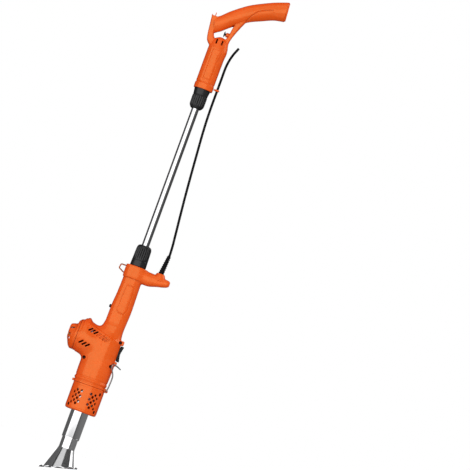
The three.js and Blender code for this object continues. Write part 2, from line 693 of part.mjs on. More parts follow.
function addCable() {
  const onAxis = (z) => [BOOT_X + BOOT_LEAN * (z - BOOT_Z), z];
  const route = [
    onAxis(443), onAxis(470), onAxis(490), onAxis(506), [53.6, 528], [51.5, 549], [43, 633],
    [36.1, 717], [31.5, 780], [CLIP.x, 825], [CLIP.x, 866], [CLIP.x, 915], [33.5, 938], [42, 965],
  ].map(([x, z]) => vec(x, 0, z));
  add('power_cable', sweptBar(route, CABLE.radius, 40, 6), rubber());

  const bore = CABLE.radius + 0.45;
  const boot = turned([
    [bore, 446], [7.6, 446], [7.6, 448], [5.9, 448], [5.9, BOOT_Z], [4.3, BOOT_TIP_Z],
    [bore, BOOT_TIP_Z],
  ], { sides: SMALL_SIDES });
  add('strain_relief', alongBoot(boot), rubber());

  const clampBar = block([38, -8, 441.5], [44, 8, 446]);
  add('cable_clamp', clampBar, blackPlastic());

  const ring = solid(turned(tubeProfile(CLIP.ring, CLIP.bore, CLIP.z - 1.8, CLIP.z + 1.8), {
    sides: SMALL_SIDES, x: CLIP.x,
  }));
  const armTip = CLIP.x - CLIP.bore - 0.4;
  const arm = solid(block([21.9, -1.8, CLIP.z - 1.6], [armTip, 1.8, CLIP.z + 1.6]));
  add('cable_clip', ring.add(arm), orangePlastic(), handle);
}

// ---------------------------------------------------------------- upper handle

const HANDLE_TUBE = upright([
  [HANDLE_BOTTOM_Z, -20, 21.2, 20.6],
  [869, -20.2, 21.4, 20.8],
  [872, -19.5, 21, 20.2],
  [930, -19.5, 21.2, 20.2],
  [944, -19.5, 22.4, 20.6],
  [954, -18.7, 20.5, 19],
  [964, -16.5, 18.2, 16],
  [971, -11, 13.5, 11.5],
  [975.4, -4, 6, 5],
]);
const LEFT_STRUT = [
  [[-18.5, 951.5], [-8, 965], 9, 2.6],
  [[-27.7, 962], [-13.5, 970], 10, 2.6],
  [[-30.6, 975], [-17.4, 977], 10, 2.6],
  [[-32.6, 992], [-20, 993], 10, 2.6],
  [[-35, 1013.5], [-19, 1013.5], 10, 2.6],
];
const RIGHT_STRUT = [
  [[21.5, 947], [5, 962], 10, 2.6],
  [[18.4, 966], [8, 972], 9, 2.6],
  [[20.6, 979.6], [12.2, 981], 9, 2.6],
  [[25.4, 994], [14.6, 996], 9, 2.6],
  [[32.5, 1012.5], [16.5, 1010], 10, 2.6],
  [[37.5, 1023], [20, 1022], 10, 2.6],
];
const GRIP_END_X = 111;
const GRIP_SIDES = 14;
const STRUT_SIDES = 8;
const GRIP = [
  [[-20, 978], [-28, 1013], 12],
  [[-11, 982.4], [-19, 1015.5], 14],
  [[6, 998.3], [-6, 1030], 16],
  [[24, 1011.5], [10.5, 1043.7], 17],
  [[42, 1025.5], [31.5, 1059.5], 17],
  [[70, 1037.8], [58, 1073.4], 17.5],
  [[94.5, 1049], [84, 1085.7], 17.5],
  [[103.5, 1049.8], [99, 1090.6], 18],
  [[GRIP_END_X, 1051], [GRIP_END_X - 1.5, 1094.2], 19],
];
const LOOP_BOSS = { z: 984.3, radius: 4.9, fromX: 6.8, toX: 14.5, bore: 3.3 };

function addHandle() {
  const tube = solid(loft(HANDLE_TUBE));
  const grip = solid(loft(GRIP, GRIP_SIDES));
  const struts = [LEFT_STRUT, RIGHT_STRUT].map((rows) => solid(loft(rows, STRUT_SIDES)));
  const { z: bossZ, radius: bossRadius, fromX, toX } = LOOP_BOSS;
  const onBossAxis = { sides: SMALL_SIDES, z: bossZ, ring: false };
  const buttonBoss = solid(turnedAlongX(rodProfile(bossRadius, fromX, toX), onBossAxis));
  const outer = join(tube, grip, ...struts, buttonBoss);

  const tubeHollow = inset(HANDLE_TUBE, WALL).slice(0, 8);
  tubeHollow[0][0][1] -= 5;
  tubeHollow[0][1][1] -= 5;
  const gripHollow = inset(GRIP, WALL).slice(2);
  gripHollow.at(-1)[0][0] += 5;
  gripHollow.at(-1)[1][0] += 5;
  const seats = HANDLE_SCREWS.map((screw) => screwSeat(screw, outer));
  const slots = [-6.3, 5.9].map((x) => block([x - 1.5, -40, 957.5], [x + 1.5, -8, 968.5]));
  const buttonBore = turnedAlongX(rodProfile(LOOP_BOSS.bore, 0, toX - 1), onBossAxis);
  const hookSeat = block([-40, -5.3, 1012], [-24.5, 5.3, 1030]);
  const hollows = [solid(loft(tubeHollow, SIDES)), solid(loft(gripHollow, HOLLOW_SIDES))];
  const shell = join(cut(outer, ...hollows), ...seats.map((seat) => seat.boss));
  const windows = [...slots, buttonBore, hookSeat].map(solid);
  const finished = cut(shell, ...windows, ...seats.map((seat) => seat.hole));
  addHalves('handle_shell_left', 'handle_shell_right', finished, handle);
  addCaseScrews(HANDLE_SCREWS, handle);

  const capSections = [
    [[GRIP_END_X + GAP, 1051.2], [GRIP_END_X + GAP - 1.5, 1094.5], 18.8],
    [[114.9, 1054], [112.2, 1092], 17],
  ];
  add('handle_end_cap', loft(capSections, GRIP_SIDES), orangePlastic(), handle);

  const knob = [
    [0, 2.1], [5, 2.1], [6.1, 3], [6.1, 4.4], [2.8, 4.4], [2.8, 11], [0, 11],
  ];
  add('loop_button', turnedAlongX(knob, onBossAxis), blackPlastic(), bodyOn(handle));

  const hook = join(
    solid(block([-35, -5, 1012.3], [-25, 5, 1013.8])),
    solid(block([-35, -5, 1012.3], [-33.6, 5, 1016])),
    solid(block([-28.4, -5, 1012.3], [-26.8, 5, 1021.5])),
  );
  add('cable_hook', hook, orangePlastic(), handle);
}

// ---------------------------------------------------------------- assembly

addBodyShells();
addMotorEndCap();
addGuard();
addHeatTube();
addNozzle();
addHeater();
addMotor();
addSwitch();
addGripButton();
addStand();
addStrapRing();
addPole();
addCable();
addHandle();

export default gun;
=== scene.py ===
import json
import math

import bpy
import numpy as np
import openvdb
from mathutils import Matrix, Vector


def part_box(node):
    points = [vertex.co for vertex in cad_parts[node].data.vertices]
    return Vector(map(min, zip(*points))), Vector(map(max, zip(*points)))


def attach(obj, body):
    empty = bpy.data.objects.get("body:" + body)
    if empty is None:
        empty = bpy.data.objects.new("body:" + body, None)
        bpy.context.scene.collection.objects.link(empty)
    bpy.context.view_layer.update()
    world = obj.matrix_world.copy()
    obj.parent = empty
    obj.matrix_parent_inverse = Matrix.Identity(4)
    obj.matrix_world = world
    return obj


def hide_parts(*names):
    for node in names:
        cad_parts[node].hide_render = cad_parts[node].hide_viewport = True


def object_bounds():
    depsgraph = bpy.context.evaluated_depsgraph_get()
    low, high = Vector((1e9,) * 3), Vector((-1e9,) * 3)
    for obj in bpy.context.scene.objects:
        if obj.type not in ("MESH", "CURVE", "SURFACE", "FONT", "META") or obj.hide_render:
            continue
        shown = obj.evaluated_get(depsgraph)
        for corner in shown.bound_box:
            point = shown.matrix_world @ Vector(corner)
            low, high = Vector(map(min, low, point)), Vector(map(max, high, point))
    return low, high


# A long-reach hot-air gun, drawn in millimetres round its pole: the pole's axis is x = 0, y = 0, the
# motor housing points to -X, the switch and the cable arm to +X, and the shells part at y = 0.

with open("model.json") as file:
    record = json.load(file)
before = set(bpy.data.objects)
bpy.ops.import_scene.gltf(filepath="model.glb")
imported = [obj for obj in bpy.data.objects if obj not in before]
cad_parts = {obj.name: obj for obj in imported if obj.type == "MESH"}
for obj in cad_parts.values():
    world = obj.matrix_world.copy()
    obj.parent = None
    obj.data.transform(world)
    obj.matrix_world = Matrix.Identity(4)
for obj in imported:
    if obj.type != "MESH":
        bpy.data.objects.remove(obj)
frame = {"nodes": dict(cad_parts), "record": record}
cad_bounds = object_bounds()
record = frame["record"]
BODY_OF = {node: body for body, nodes in record["behaviour"]["bodies"].items() for node in nodes}
SLOT_OF = {part["node"]: part["material_slot"] for part in record["subparts"]}

MM = 0.001
POLE_BOTTOM_Z = 442
POLE_TOP_Z = 905
pole_low, pole_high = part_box("pole")
DRAWING_ORIGIN = np.array([
    (pole_low.x + pole_high.x) / 2,
    (pole_low.y + pole_high.y) / 2,
    pole_low.z - POLE_BOTTOM_Z * MM,
])

GAP = 0.3
WALL = 2.6
BLIND_DEPTH = 1.4
PANEL = {"height": 0.5, "edge": 1.2, "line": 1.0}
BARREL_X = -9.5
BODY_BOTTOM_Z = 192.5
BODY_TOP_Z = 460
CAP_X = -69.5
HANDLE_BOTTOM_Z = 858


# ---- curves ----

def smooth_rows(knots, values, at):
    """Monotone cubic interpolation of rows of values, so that no curve overshoots its rows."""
    knots = np.asarray(knots, float)
    values = np.asarray(values, float)
    at = np.clip(np.asarray(at, float), knots[0], knots[-1])
    gaps = np.diff(knots)
    slopes = np.diff(values, axis=0) / gaps[:, None]
    before, after = slopes[:-1], slopes[1:]
    same_way = before * after > 0
    total = np.where(same_way, before + after, 1)
    inner = np.where(same_way, 2 * before * after / total, 0)
    tangents = np.concatenate([slopes[:1], inner, slopes[-1:]])
    i = np.clip(np.searchsorted(knots, at, side="right") - 1, 0, len(gaps) - 1)
    gap = gaps[i][..., None]
    t = ((at - knots[i]) / gaps[i])[..., None]
    from_start = (1 + 2 * t) * (1 - t) ** 2 * values[i] + t * (1 - t) ** 2 * gap * tangents[i]
    from_end = t * t * (3 - 2 * t) * values[i + 1] + t * t * (t - 1) * gap * tangents[i + 1]
    return from_start + from_end


def catmull_rom(points, per_span):
    """A smooth curve through the points, with the same number of steps in every span."""
    points = np.asarray(points, float)
    padded = np.vstack([2 * points[0] - points[1], points, 2 * points[-1] - points[-2]])
    t = np.linspace(0, 1, per_span, endpoint=False)[:, None]
    spans = []
    for a, b, c, d in zip(padded, padded[1:], padded[2:], padded[3:]):
        cubic = -a + 3 * b - 3 * c + d
        square = 2 * a - 5 * b + 4 * c - d
        spans.append(0.5 * (2 * b + (c - a) * t + square * t ** 2 + cubic * t ** 3))
    return np.vstack([*spans, points[-1:]])


# ---- distance fields ----

class Grid:
    """A box of sample points, in drawing millimetres; its x, y and z arrays broadcast together."""

    def __init__(self, low, high, step):
        self.low = np.array(low, float)
        self.step = step
        axes = [np.arange(a, b + step, step) for a, b in zip(low, high)]
        self.x = axes[0][:, None, None]
        self.y = axes[1][None, :, None]
        self.z = axes[2][None, None, :]

    def surface(self, field):
        """The vertices and the quads of a distance field's zero surface."""
        shape = np.broadcast_shapes(self.x.shape, self.y.shape, self.z.shape)
        outside = 10 * self.step
        volume = openvdb.FloatGrid(outside)
        volume.copyFromArray(np.ascontiguousarray(np.broadcast_to(field, shape), np.float32))
        points, quads = volume.convertToQuads(0.0)
        return self.low + points * self.step, quads


def union(a, b, fillet=0.0):
    """The nearer of two solids, with a fillet of about this radius where they meet."""
    if fillet == 0:
        return np.minimum(a, b)
    near = np.maximum(fillet - np.abs(a - b), 0) / fillet
    return np.minimum(a, b) - near * near * fillet / 4


def overlap(a, b, rounding=0.0):
    """What two solids share, with its edge rounded."""
    return -union(-a, -b, rounding)


def cut(a, b, rounding=0.0):
    """The first solid without the second."""
    return overlap(a, -b, rounding)


def superellipse(across, half_across, y, half_y, squareness):
    """Distance, exact near the surface, to a bar whose section runs from ellipse (2) to box."""
    u = np.abs(across) / half_across + 1e-5
    v = np.abs(y) / half_y + 1e-5
    level = (u ** squareness + v ** squareness) ** (1 / squareness)
    steepness = level ** (1 - squareness) * np.hypot(
        u ** (squareness - 1) / half_across, v ** (squareness - 1) / half_y)
    return (level - 1) / steepness


def bar_rows(rows, at):
    """The values of a bar's rows at every place along it; a row without a squareness has 2."""
    rows = np.array([row if len(row) == 5 else [*row, 2] for row in rows], float)
    return np.moveaxis(smooth_rows(rows[:, 0], rows[:, 1:], at), -1, 0)


def upright_bar(grid, rows):
    """A bar along Z with open ends, from rows of z, left x, right x, half width, squareness."""
    left, right, half, squareness = bar_rows(rows, grid.z)
    return superellipse(grid.x - (left + right) / 2, (right - left) / 2, grid.y, half, squareness)


def level_bar(grid, rows):
    """A bar along X with open ends, from rows of x, low z, high z, half width, squareness."""
    low, high, half, squareness = bar_rows(rows, grid.x)
    return superellipse(grid.z - (low + high) / 2, (high - low) / 2, grid.y, half, squareness)


def curved_bar(grid, chords, squareness, smoothing=0, samples=90):
    """A bar bent in the XZ plane, from rows of low point, high point, half width."""
    rows = np.array([[*low, *high, half] for low, high, half in chords], float)
    middles = (rows[:, 0:2] + rows[:, 2:4]) / 2
    lengths = np.linalg.norm(np.diff(middles, axis=0), axis=1)
    knots = np.concatenate([[0], np.cumsum(lengths)])
    along = np.linspace(0, knots[-1], samples)
    fine = smooth_rows(knots, rows, along)
    for _ in range(smoothing):
        fine[1:-1] = (fine[:-2] + 2 * fine[1:-1] + fine[2:]) / 4
    middle = (fine[:, 0:2] + fine[:, 2:4]) / 2
    tangent = np.gradient(middle, axis=0)
    tangent /= np.linalg.norm(tangent, axis=1)[:, None]
    normal = np.stack([-tangent[:, 1], tangent[:, 0]], axis=1)
    reach = np.abs(np.sum((fine[:, 2:4] - fine[:, 0:2]) * normal, axis=1)) / 2

    nearest = np.full(np.broadcast_shapes(grid.x.shape, grid.z.shape), np.inf)
    index = np.zeros(nearest.shape, int)
    for i, (x, z) in enumerate(middle):
        distance = (grid.x - x) ** 2 + (grid.z - z) ** 2
        closer = distance < nearest
        nearest = np.where(closer, distance, nearest)
        index = np.where(closer, i, index)
    dx = grid.x - middle[index, 0]
    dz = grid.z - middle[index, 1]
    forward = dx * tangent[index, 0] + dz * tangent[index, 1]
    place = along[index] + forward
    half_across = np.interp(place, along, reach)
    half_y = np.interp(place, along, fine[:, 4])
    across = dx * normal[index, 0] + dz * normal[index, 1]
    bar = superellipse(across, half_across, grid.y, half_y, squareness)
    for row, outwards in ((rows[0], -tangent[0]), (rows[-1], tangent[-1])):
        end_x, end_z = row[2] - row[0], row[3] - row[1]
        size = math.hypot(end_x, end_z)
        if outwards[0] * end_z - outwards[1] * end_x < 0:
            size = -size
        beyond = ((grid.x - row[0]) * end_z - (grid.z - row[1]) * end_x) / size
        bar = np.maximum(bar, beyond)
    return bar


def box_field(grid, low, high, rounding=0.0):
    """A box with rounded edges."""
    gaps = []
    for axis, a, b in zip((grid.x, grid.y, grid.z), low, high):
        gaps.append(np.abs(axis - (a + b) / 2) - (b - a) / 2 + rounding)
    outside = np.sqrt(sum(np.maximum(gap, 0) ** 2 for gap in gaps))
    inside = np.minimum(np.maximum(np.maximum(gaps[0], gaps[1]), gaps[2]), 0)
    return outside + inside - rounding


def rod_field(grid, along, centre, radius, low=None, high=None):
    """A round rod along the "x", "y" or "z" axis; centre gives its other two coordinates."""
    axes = {"x": grid.x, "y": grid.y, "z": grid.z}
    own = axes.pop(along)
    first, second = axes.values()
    rod = np.hypot(first - centre[0], second - centre[1]) - radius
    if low is not None:
        rod = np.maximum(rod, low - own)
    if high is not None:
        rod = np.maximum(rod, own - high)
    return rod


def from_segment(grid, start, end):
    """Distance in the XZ plane to a straight line between two points."""
    (x0, z0), (x1, z1) = start, end
    ex, ez = x1 - x0, z1 - z0
    wx, wz = grid.x - x0, grid.z - z0
    t = np.clip((wx * ex + wz * ez) / (ex * ex + ez * ez), 0, 1)
    return np.hypot(wx - ex * t, wz - ez * t)


def polygon_field(grid, points):
    """Signed distance in the XZ plane to a polygon's outline."""
    best = np.inf
    inside = np.zeros(np.broadcast_shapes(grid.x.shape, grid.z.shape), bool)
    for (x0, z0), (x1, z1) in zip(points, [*points[1:], points[0]]):
        best = np.minimum(best, from_segment(grid, (x0, z0), (x1, z1)))
        if z0 != z1:
            crosses = (z0 <= grid.z) != (z1 <= grid.z)
            inside ^= crosses & (grid.x < x0 + (grid.z - z0) * (x1 - x0) / (z1 - z0))
    return np.where(inside, -best, best)


def extruded(grid, outline, half_width, rounding):
    """A plate: an XZ outline given a width in Y, with rounded edges."""
    a = outline + rounding
    b = np.abs(grid.y) - half_width + rounding
    outside = np.hypot(np.maximum(a, 0), np.maximum(b, 0))
    return outside + np.minimum(np.maximum(a, b), 0) - rounding


def line_field(grid, points):
    """Distance in the XZ plane to an open line through the points."""
    return np.minimum.reduce([from_segment(grid, a, b) for a, b in zip(points, points[1:])])


def groove(distance, width):
    """A soft dent, 1 in the middle, for lines pressed into a surface."""
    return np.exp(-(distance / width) ** 2)


def pressed(outside, along, lines):
    """The surface with grooves across it, from rows of place, depth (below 0 is a ridge), width."""
    for place, depth, width in lines:
        outside = outside + depth * groove(along - place, width)
    return outside


def raised_panel(grid, outside, points, line_depth):
    """The surface with a panel raised on it and a line pressed in round the panel's edge."""
    edge = polygon_field(grid, points)
    raised = np.clip(0.5 - edge / PANEL["edge"], 0, 1)
    return outside - PANEL["height"] * raised + line_depth * groove(edge, PANEL["line"])


# ---- mesh shapes ----

def skin(rings, looped=False):
    """Points and faces of a stack of equal rings; an open stack gets flat ends."""
    rings = np.asarray(rings, float)
    count, sides = rings.shape[:2]
    faces = []
    for r in range(count if looped else count - 1):
        low, high = r * sides, (r + 1) % count * sides
        for i in range(sides):
            j = (i + 1) % sides
            faces.append((low + i, low + j, high + j, high + i))
    if not looped:
        faces.append(tuple(range(sides))[::-1])
        faces.append(tuple(range((count - 1) * sides, count * sides)))
    return rings.reshape(-1, 3), faces


def turned(profile, sides=96, centre=(0, 0), shape=None, looped=True):
    """A (radius, z) outline turned about Z. shape(angle, radius, z) may change both for each angle."""
    angles = np.linspace(0, 2 * math.pi, sides, endpoint=False)
    rings = []
    for radius, z in profile:
        r, h = (radius, z) if shape is None else shape(angles, radius, z)
        ring = np.stack([
            centre[0] + r * np.cos(angles),
            centre[1] + r * np.sin(angles),
            np.broadcast_to(h, angles.shape),
        ], axis=1)
        rings.append(ring)
    return skin(rings, looped)


def along_x(shape, z):
    """Lays a piece that was turned about Z along X instead, at height z."""
    points, faces = shape
    x, y, up = points.T
    return np.stack([up, y, z - x], axis=1), faces


def swept(path, radius, sides):
    """A round wire along a path, with rounded ends."""
    path = np.asarray(path, float)
    tangents = np.gradient(path, axis=0)
    tangents /= np.linalg.norm(tangents, axis=1)[:, None]
    side = np.cross(tangents[0], (0, 1, 0))
    if np.linalg.norm(side) < 0.1:
        side = np.cross(tangents[0], (0, 0, 1))
    angles = np.linspace(0, 2 * math.pi, sides, endpoint=False)
    end_steps = (0.5, 0.85, 1)
    bluntness = 0.6
    stations = [(0, -t) for t in reversed(end_steps)]
    stations += [(i, 0) for i in range(len(path))]
    stations += [(len(path) - 1, t) for t in end_steps]
    rings = []
    for i, t in stations:
        side = side - tangents[i] * (side @ tangents[i])
        side /= np.linalg.norm(side)
        up = np.cross(tangents[i], side)
        size = radius * max(math.sqrt(1 - t * t), 0.02)
        centre = path[i] + tangents[i] * radius * t * bluntness
        rings.append(centre + size * (np.outer(np.cos(angles), side) + np.outer(np.sin(angles), up)))
    return skin(rings)


def bent_wire(points, bend, steps=6):
    """Straight runs between points, with each corner rounded off over the length called bend."""
    points = np.asarray(points, float)
    path = [points[0]]
    for before, corner, after in zip(points, points[1:], points[2:]):
        back, on = before - corner, after - corner
        back_length, on_length = np.linalg.norm(back), np.linalg.norm(on)
        start = corner + back * min(bend / back_length, 0.48)
        end = corner + on * min(bend / on_length, 0.48)
        for t in np.linspace(0, 1, steps):
            path.append((1 - t) ** 2 * start + 2 * t * (1 - t) * corner + t * t * end)
    return np.array([*path, points[-1]])


def mirrored(shape):
    """The shape's mirror image across the parting plane."""
    points, faces = shape
    return points * (1, -1, 1), np.asarray(faces)[:, ::-1]


def moved(shape, turn, to):
    """The shape turned by a matrix and then moved."""
    points, faces = shape
    return points @ np.asarray(turn, float).T + np.asarray(to, float), faces


def make_mesh(name, shape, sharp_deg):
    """A Blender mesh from drawing millimetres, smooth except over sharp edges."""
    points, faces = shape
    mesh = bpy.data.meshes.new(name)
    place = points * MM + DRAWING_ORIGIN
    if isinstance(faces, np.ndarray):
        mesh.vertices.add(len(place))
        mesh.vertices.foreach_set("co", place.astype(np.float32).ravel())
        mesh.loops.add(faces.size)
        mesh.loops.foreach_set("vertex_index", faces.astype(np.int32).ravel())
        mesh.polygons.add(len(faces))
        mesh.polygons.foreach_set("loop_start", np.arange(0, faces.size, 4, dtype=np.int32))
        mesh.update(calc_edges=True)
    else:
        mesh.from_pydata(place.tolist(), [], faces)
    mesh.validate()
    mesh.polygons.foreach_set("use_smooth", np.ones(len(mesh.polygons), bool))
    if sharp_deg:
        mesh.set_sharp_from_angle(angle=math.radians(sharp_deg))
    mesh.update()
    return mesh


def stand_for(node, shape, finish=None, sharp_deg=0):
    """Shows a fine piece in place of a CAD node, on its body, in its slot's finish or another one."""
    piece = bpy.data.objects.new(node + "_fine", make_mesh(node + "_fine", shape, sharp_deg))
    bpy.context.scene.collection.objects.link(piece)
    piece.data.materials.append(FINISHES[finish or SLOT_OF[node]])
    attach(piece, BODY_OF[node])
    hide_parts(node)
    return piece


# ---- materials ----

WHITE = (1, 1, 1)
# Painted shade: how far ambient occlusion looks for nearby surfaces, and the tint that darkens a colour in
# creases and along outlines.
PAINTED_SHADE_REACH_MM = 5
PAINTED_SHADE_TINT = (0.4, 0.25, 0.3)


class Tree:
    """A short way to write a node tree."""

    def __init__(self, tree):
        self.tree = tree
        tree.nodes.clear()

    def node(self, kind, inputs=None, **settings):
        made = self.tree.nodes.new(kind)
        for key, value in settings.items():
            setattr(made, key, value)
        for key, value in (inputs or {}).items():
            if isinstance(value, bpy.types.NodeSocket):
                self.tree.links.new(value, made.inputs[key])
            else:
                made.inputs[key].default_value = value
        return made

    def math(self, operation, a, b=0.0):
        return self.node("ShaderNodeMath", {0: a, 1: b}, operation=operation).outputs[0]

    def add(self, a, b):
        return self.math("ADD", a, b)

    def times(self, a, b):
        return self.math("MULTIPLY", a, b)

    def ramp(self, value, low, high, start=0.0, end=1.0):
        """A smooth step from start to end as value goes from low to high."""
        made = self.node("ShaderNodeMapRange", {
            "Value": value, "From Min": low, "From Max": high, "To Min": start, "To Max": end,
        }, interpolation_type="SMOOTHSTEP")
        return made.outputs["Result"]

    def mix(self, share, a, b):
        """A colour between a and b."""
        made = self.node("ShaderNodeMix", {"Factor": share, "A": a, "B": b}, data_type="RGBA")
        return made.outputs["Result"]

    def facing_away(self):
        """0 where the surface faces the camera, near 1 at its outline."""
        return self.node("ShaderNodeLayerWeight", {"Blend": 0.5}).outputs["Facing"]

    def noise(self, place, scale, detail=3.0, stretch=None):
        if stretch:
            place = self.node("ShaderNodeMapping", {"Vector": place, "Scale": stretch}).outputs[0]
        made = self.node("ShaderNodeTexNoise", {"Vector": place, "Scale": scale, "Detail": detail})
        return made.outputs["Fac"]


def rgb(colour, share=1.0, more=0.0):
    """A shader colour: share of the colour with some more of every part."""
    return (*[min(1.0, share * part + more) for part in colour], 1.0)


def new_material():
    """An empty node material, its tree and its object coordinates."""
    made = bpy.data.materials.new("finish")
    made.use_nodes = True
    tree = Tree(made.node_tree)
    place = tree.node("ShaderNodeTexCoord").outputs["Object"]
    return made, tree, place


def finish_material(tree, colour, roughness, height, depth_mm, metallic=0.0, specular=0.5, tint=WHITE):
    """Joins colour, roughness and a height map into one surface."""
    bump = tree.node("ShaderNodeBump", {"Height": height, "Strength": 1.0, "Distance": depth_mm * MM})
    surface = tree.node("ShaderNodeBsdfPrincipled", {
        "Base Color": colour, "Roughness": roughness, "Metallic": metallic,
        "Specular IOR Level": specular, "Specular Tint": rgb(tint), "Normal": bump.outputs[0],
    })
    tree.node("ShaderNodeOutputMaterial", {"Surface": surface.outputs[0]})


def moulded_plastic(colour, roughness, specular, tint=WHITE):
    """Moulded plastic: cloudy colour, a fine grain, pale edges that are partly wear and partly a painted
    highlight, painted shade in creases and along the outline, scuffs.
    """
    made, tree, place = new_material()
    clouds = tree.noise(place, 28.0)
    patches = tree.noise(place, 160.0)
    tone = tree.add(tree.ramp(clouds, 0.3, 0.7, 0.0, 0.6), tree.ramp(patches, 0.3, 0.7, 0.0, 0.4))
    base = tree.mix(tone, rgb(colour, 0.93), rgb(colour, 1.05, 0.004))

    pointed = tree.node("ShaderNodeNewGeometry").outputs["Pointiness"]
    # Pale patches on sharp convex edges: rubbed wear, and also a painted highlight along those edges.
    edge = tree.times(tree.ramp(pointed, 0.52, 0.62), tree.ramp(patches, 0.4, 0.6, 0.2, 0.7))
    base = tree.mix(edge, base, rgb(colour, 0.75, 0.12))
    # Painted shade: a darker copy of the colour, laid into concave creases found by pointiness and into
    # hollows found by ambient occlusion.
    shaded = rgb([part * share for part, share in zip(colour, PAINTED_SHADE_TINT)])
    base = tree.mix(tree.times(tree.ramp(pointed, 0.49, 0.42), 0.45), base, shaded)
    open_air = tree.node("ShaderNodeAmbientOcclusion", {"Distance": PAINTED_SHADE_REACH_MM * MM}, samples=8)
    base = tree.mix(tree.ramp(open_air.outputs["AO"], 0.97, 0.45, 0.0, 0.9), base, shaded)
    # Painted shade along the outline: the colour darkens as the surface turns away from the camera.
    away = tree.facing_away()
    base = tree.mix(tree.ramp(away, 0.46, 0.86, 0.0, 0.65), base, shaded)
    shine = tree.ramp(away, 0.25, 0.7, specular, 0.04)

    scuffs = tree.noise(place, 90.0, 6.0, (1.0, 1.0, 9.0))
    rough = tree.add(roughness, tree.ramp(scuffs, 0.55, 0.75, 0.0, 0.12))
    rough = tree.add(rough, tree.ramp(clouds, 0.3, 0.7, -0.03, 0.04))
    grain = tree.noise(place, 1250.0, 2.0)
    height = tree.add(grain, tree.times(patches, 1.5))
    finish_material(tree, base, rough, height, 0.006, specular=shine, tint=tint)
    return made


def polished_metal(colour, roughness, depth_mm=0.004, outline_shade_share=1.0):
    """Metal with faint drawing marks along its length, smudges, scratches and painted shade along the
    outline.
    """
    made, tree, place = new_material()
    lines = tree.noise(place, 900.0, 4.0, (1.0, 1.0, 0.04))
    smudges = tree.noise(place, 45.0, 4.0)
    scratches = tree.ramp(tree.noise(place, 420.0, 8.0, (0.25, 1.0, 1.0)), 0.62, 0.7)
    base = tree.mix(tree.ramp(smudges, 0.35, 0.7, 0.0, 0.5), rgb(colour), rgb(colour, 0.86))
    # Painted shade along the outline: the colour falls to the given share of itself where the surface turns
    # from the camera.
    base = tree.mix(tree.ramp(tree.facing_away(), 0.06, 0.15), base, rgb(colour, outline_shade_share))
    rough = tree.add(roughness, tree.ramp(smudges, 0.4, 0.7, 0.0, 0.05))
    rough = tree.add(rough, tree.times(lines, 0.05))
    rough = tree.add(rough, tree.times(scratches, 0.06))
    height = tree.math("SUBTRACT", lines, tree.times(scratches, 0.6))
    finish_material(tree, base, rough, height, depth_mm, metallic=1.0)
    return made


def matt_solid(colour, other, roughness, grain_mm, depth_mm):
    """Rubber, mica or coated board: two tones in a fine grain, with little shine."""
    made, tree, place = new_material()
    fine = tree.noise(place, 1000.0 / grain_mm, 4.0)
    broad = tree.noise(place, 60.0)
    share = tree.times(tree.ramp(fine, 0.35, 0.65), tree.ramp(broad, 0.3, 0.7, 0.5, 1.0))
    base = tree.mix(share, rgb(colour), rgb(other))
    rough = tree.add(roughness, tree.ramp(broad, 0.3, 0.7, -0.05, 0.08))
    finish_material(tree, base, rough, fine, depth_mm, specular=0.12)
    return made


FINISHES = {
    "orange_plastic": moulded_plastic((0.9, 0.093, 0.002), 0.24, 0.8, tint=(0.65, 1, 0.42)),
    "black_plastic": moulded_plastic((0.014, 0.014, 0.015), 0.34, 0.5),
    "gloss_black": moulded_plastic((0.006, 0.006, 0.007), 0.35, 0.2),
    "cable_rubber": matt_solid((0.004, 0.004, 0.005), (0.008, 0.008, 0.009), 0.6, 1.5, 0.002),
    "bright_steel": polished_metal((0.93, 0.93, 0.94), 0.05),
    # The pole gets strong painted shade along its outline, down to 0.4 of its colour.
    "pole_steel": polished_metal((0.93, 0.93, 0.94), 0.05, outline_shade_share=0.4),
    "nozzle_steel": polished_metal((0.93, 0.93, 0.94), 0.08),
    "plain_steel": polished_metal((0.62, 0.62, 0.63), 0.22, depth_mm=0.01),
    "screw_steel": polished_metal((0.1, 0.045, 0.035), 0.45, depth_mm=0.01),
    "wire_steel": polished_metal((0.42, 0.4, 0.4), 0.25),
    "ring_metal": polished_metal((0.62, 0.15, 0.035), 0.4),
    "brass_bush": polished_metal((0.72, 0.5, 0.22), 0.3, depth_mm=0.01),
    # Mica's brown, darkened well below the sheet's own tone as painted shade, so the guard's vent holes
    # look dark.
    "mica_sheet": matt_solid((0.16, 0.12, 0.08), (0.09, 0.065, 0.045), 0.6, 1.5, 0.05),
    "green_board": matt_solid((0.02, 0.13, 0.05), (0.05, 0.2, 0.08), 0.45, 1.2, 0.02),
}
for finish_name, made_finish in FINISHES.items():
    made_finish.name = finish_name


# ---- screws ----

SCREW = {
    "head": 3.0, "head_height": 2.0, "dome": 9.0, "shank": 1.4, "thread": 0.3, "pitch": 1.3,
    "blade": 0.5, "recess": 1.3, "clearance": 1.8, "sink": 3.5, "boss": 5.0,
}
CASE_SCREW_LENGTH = 18
GUARD_SCREW_LENGTH = 6
BODY_SCREWS = {
    "case_screw_barrel_left": ((-40, 244.6), -11, 1),
    "case_screw_barrel_right": ((19, 244.6), -13, 1),
    "case_screw_switch": ((21, 298.5), -7, 1),
}
HANDLE_SCREWS = {
    "handle_screw_tube": ((0.8, 930), 13, -1),
    "handle_screw_loop": ((19, 1018), 9, -1),
    "handle_screw_grip": ((84, 1067), 11, -1),
}


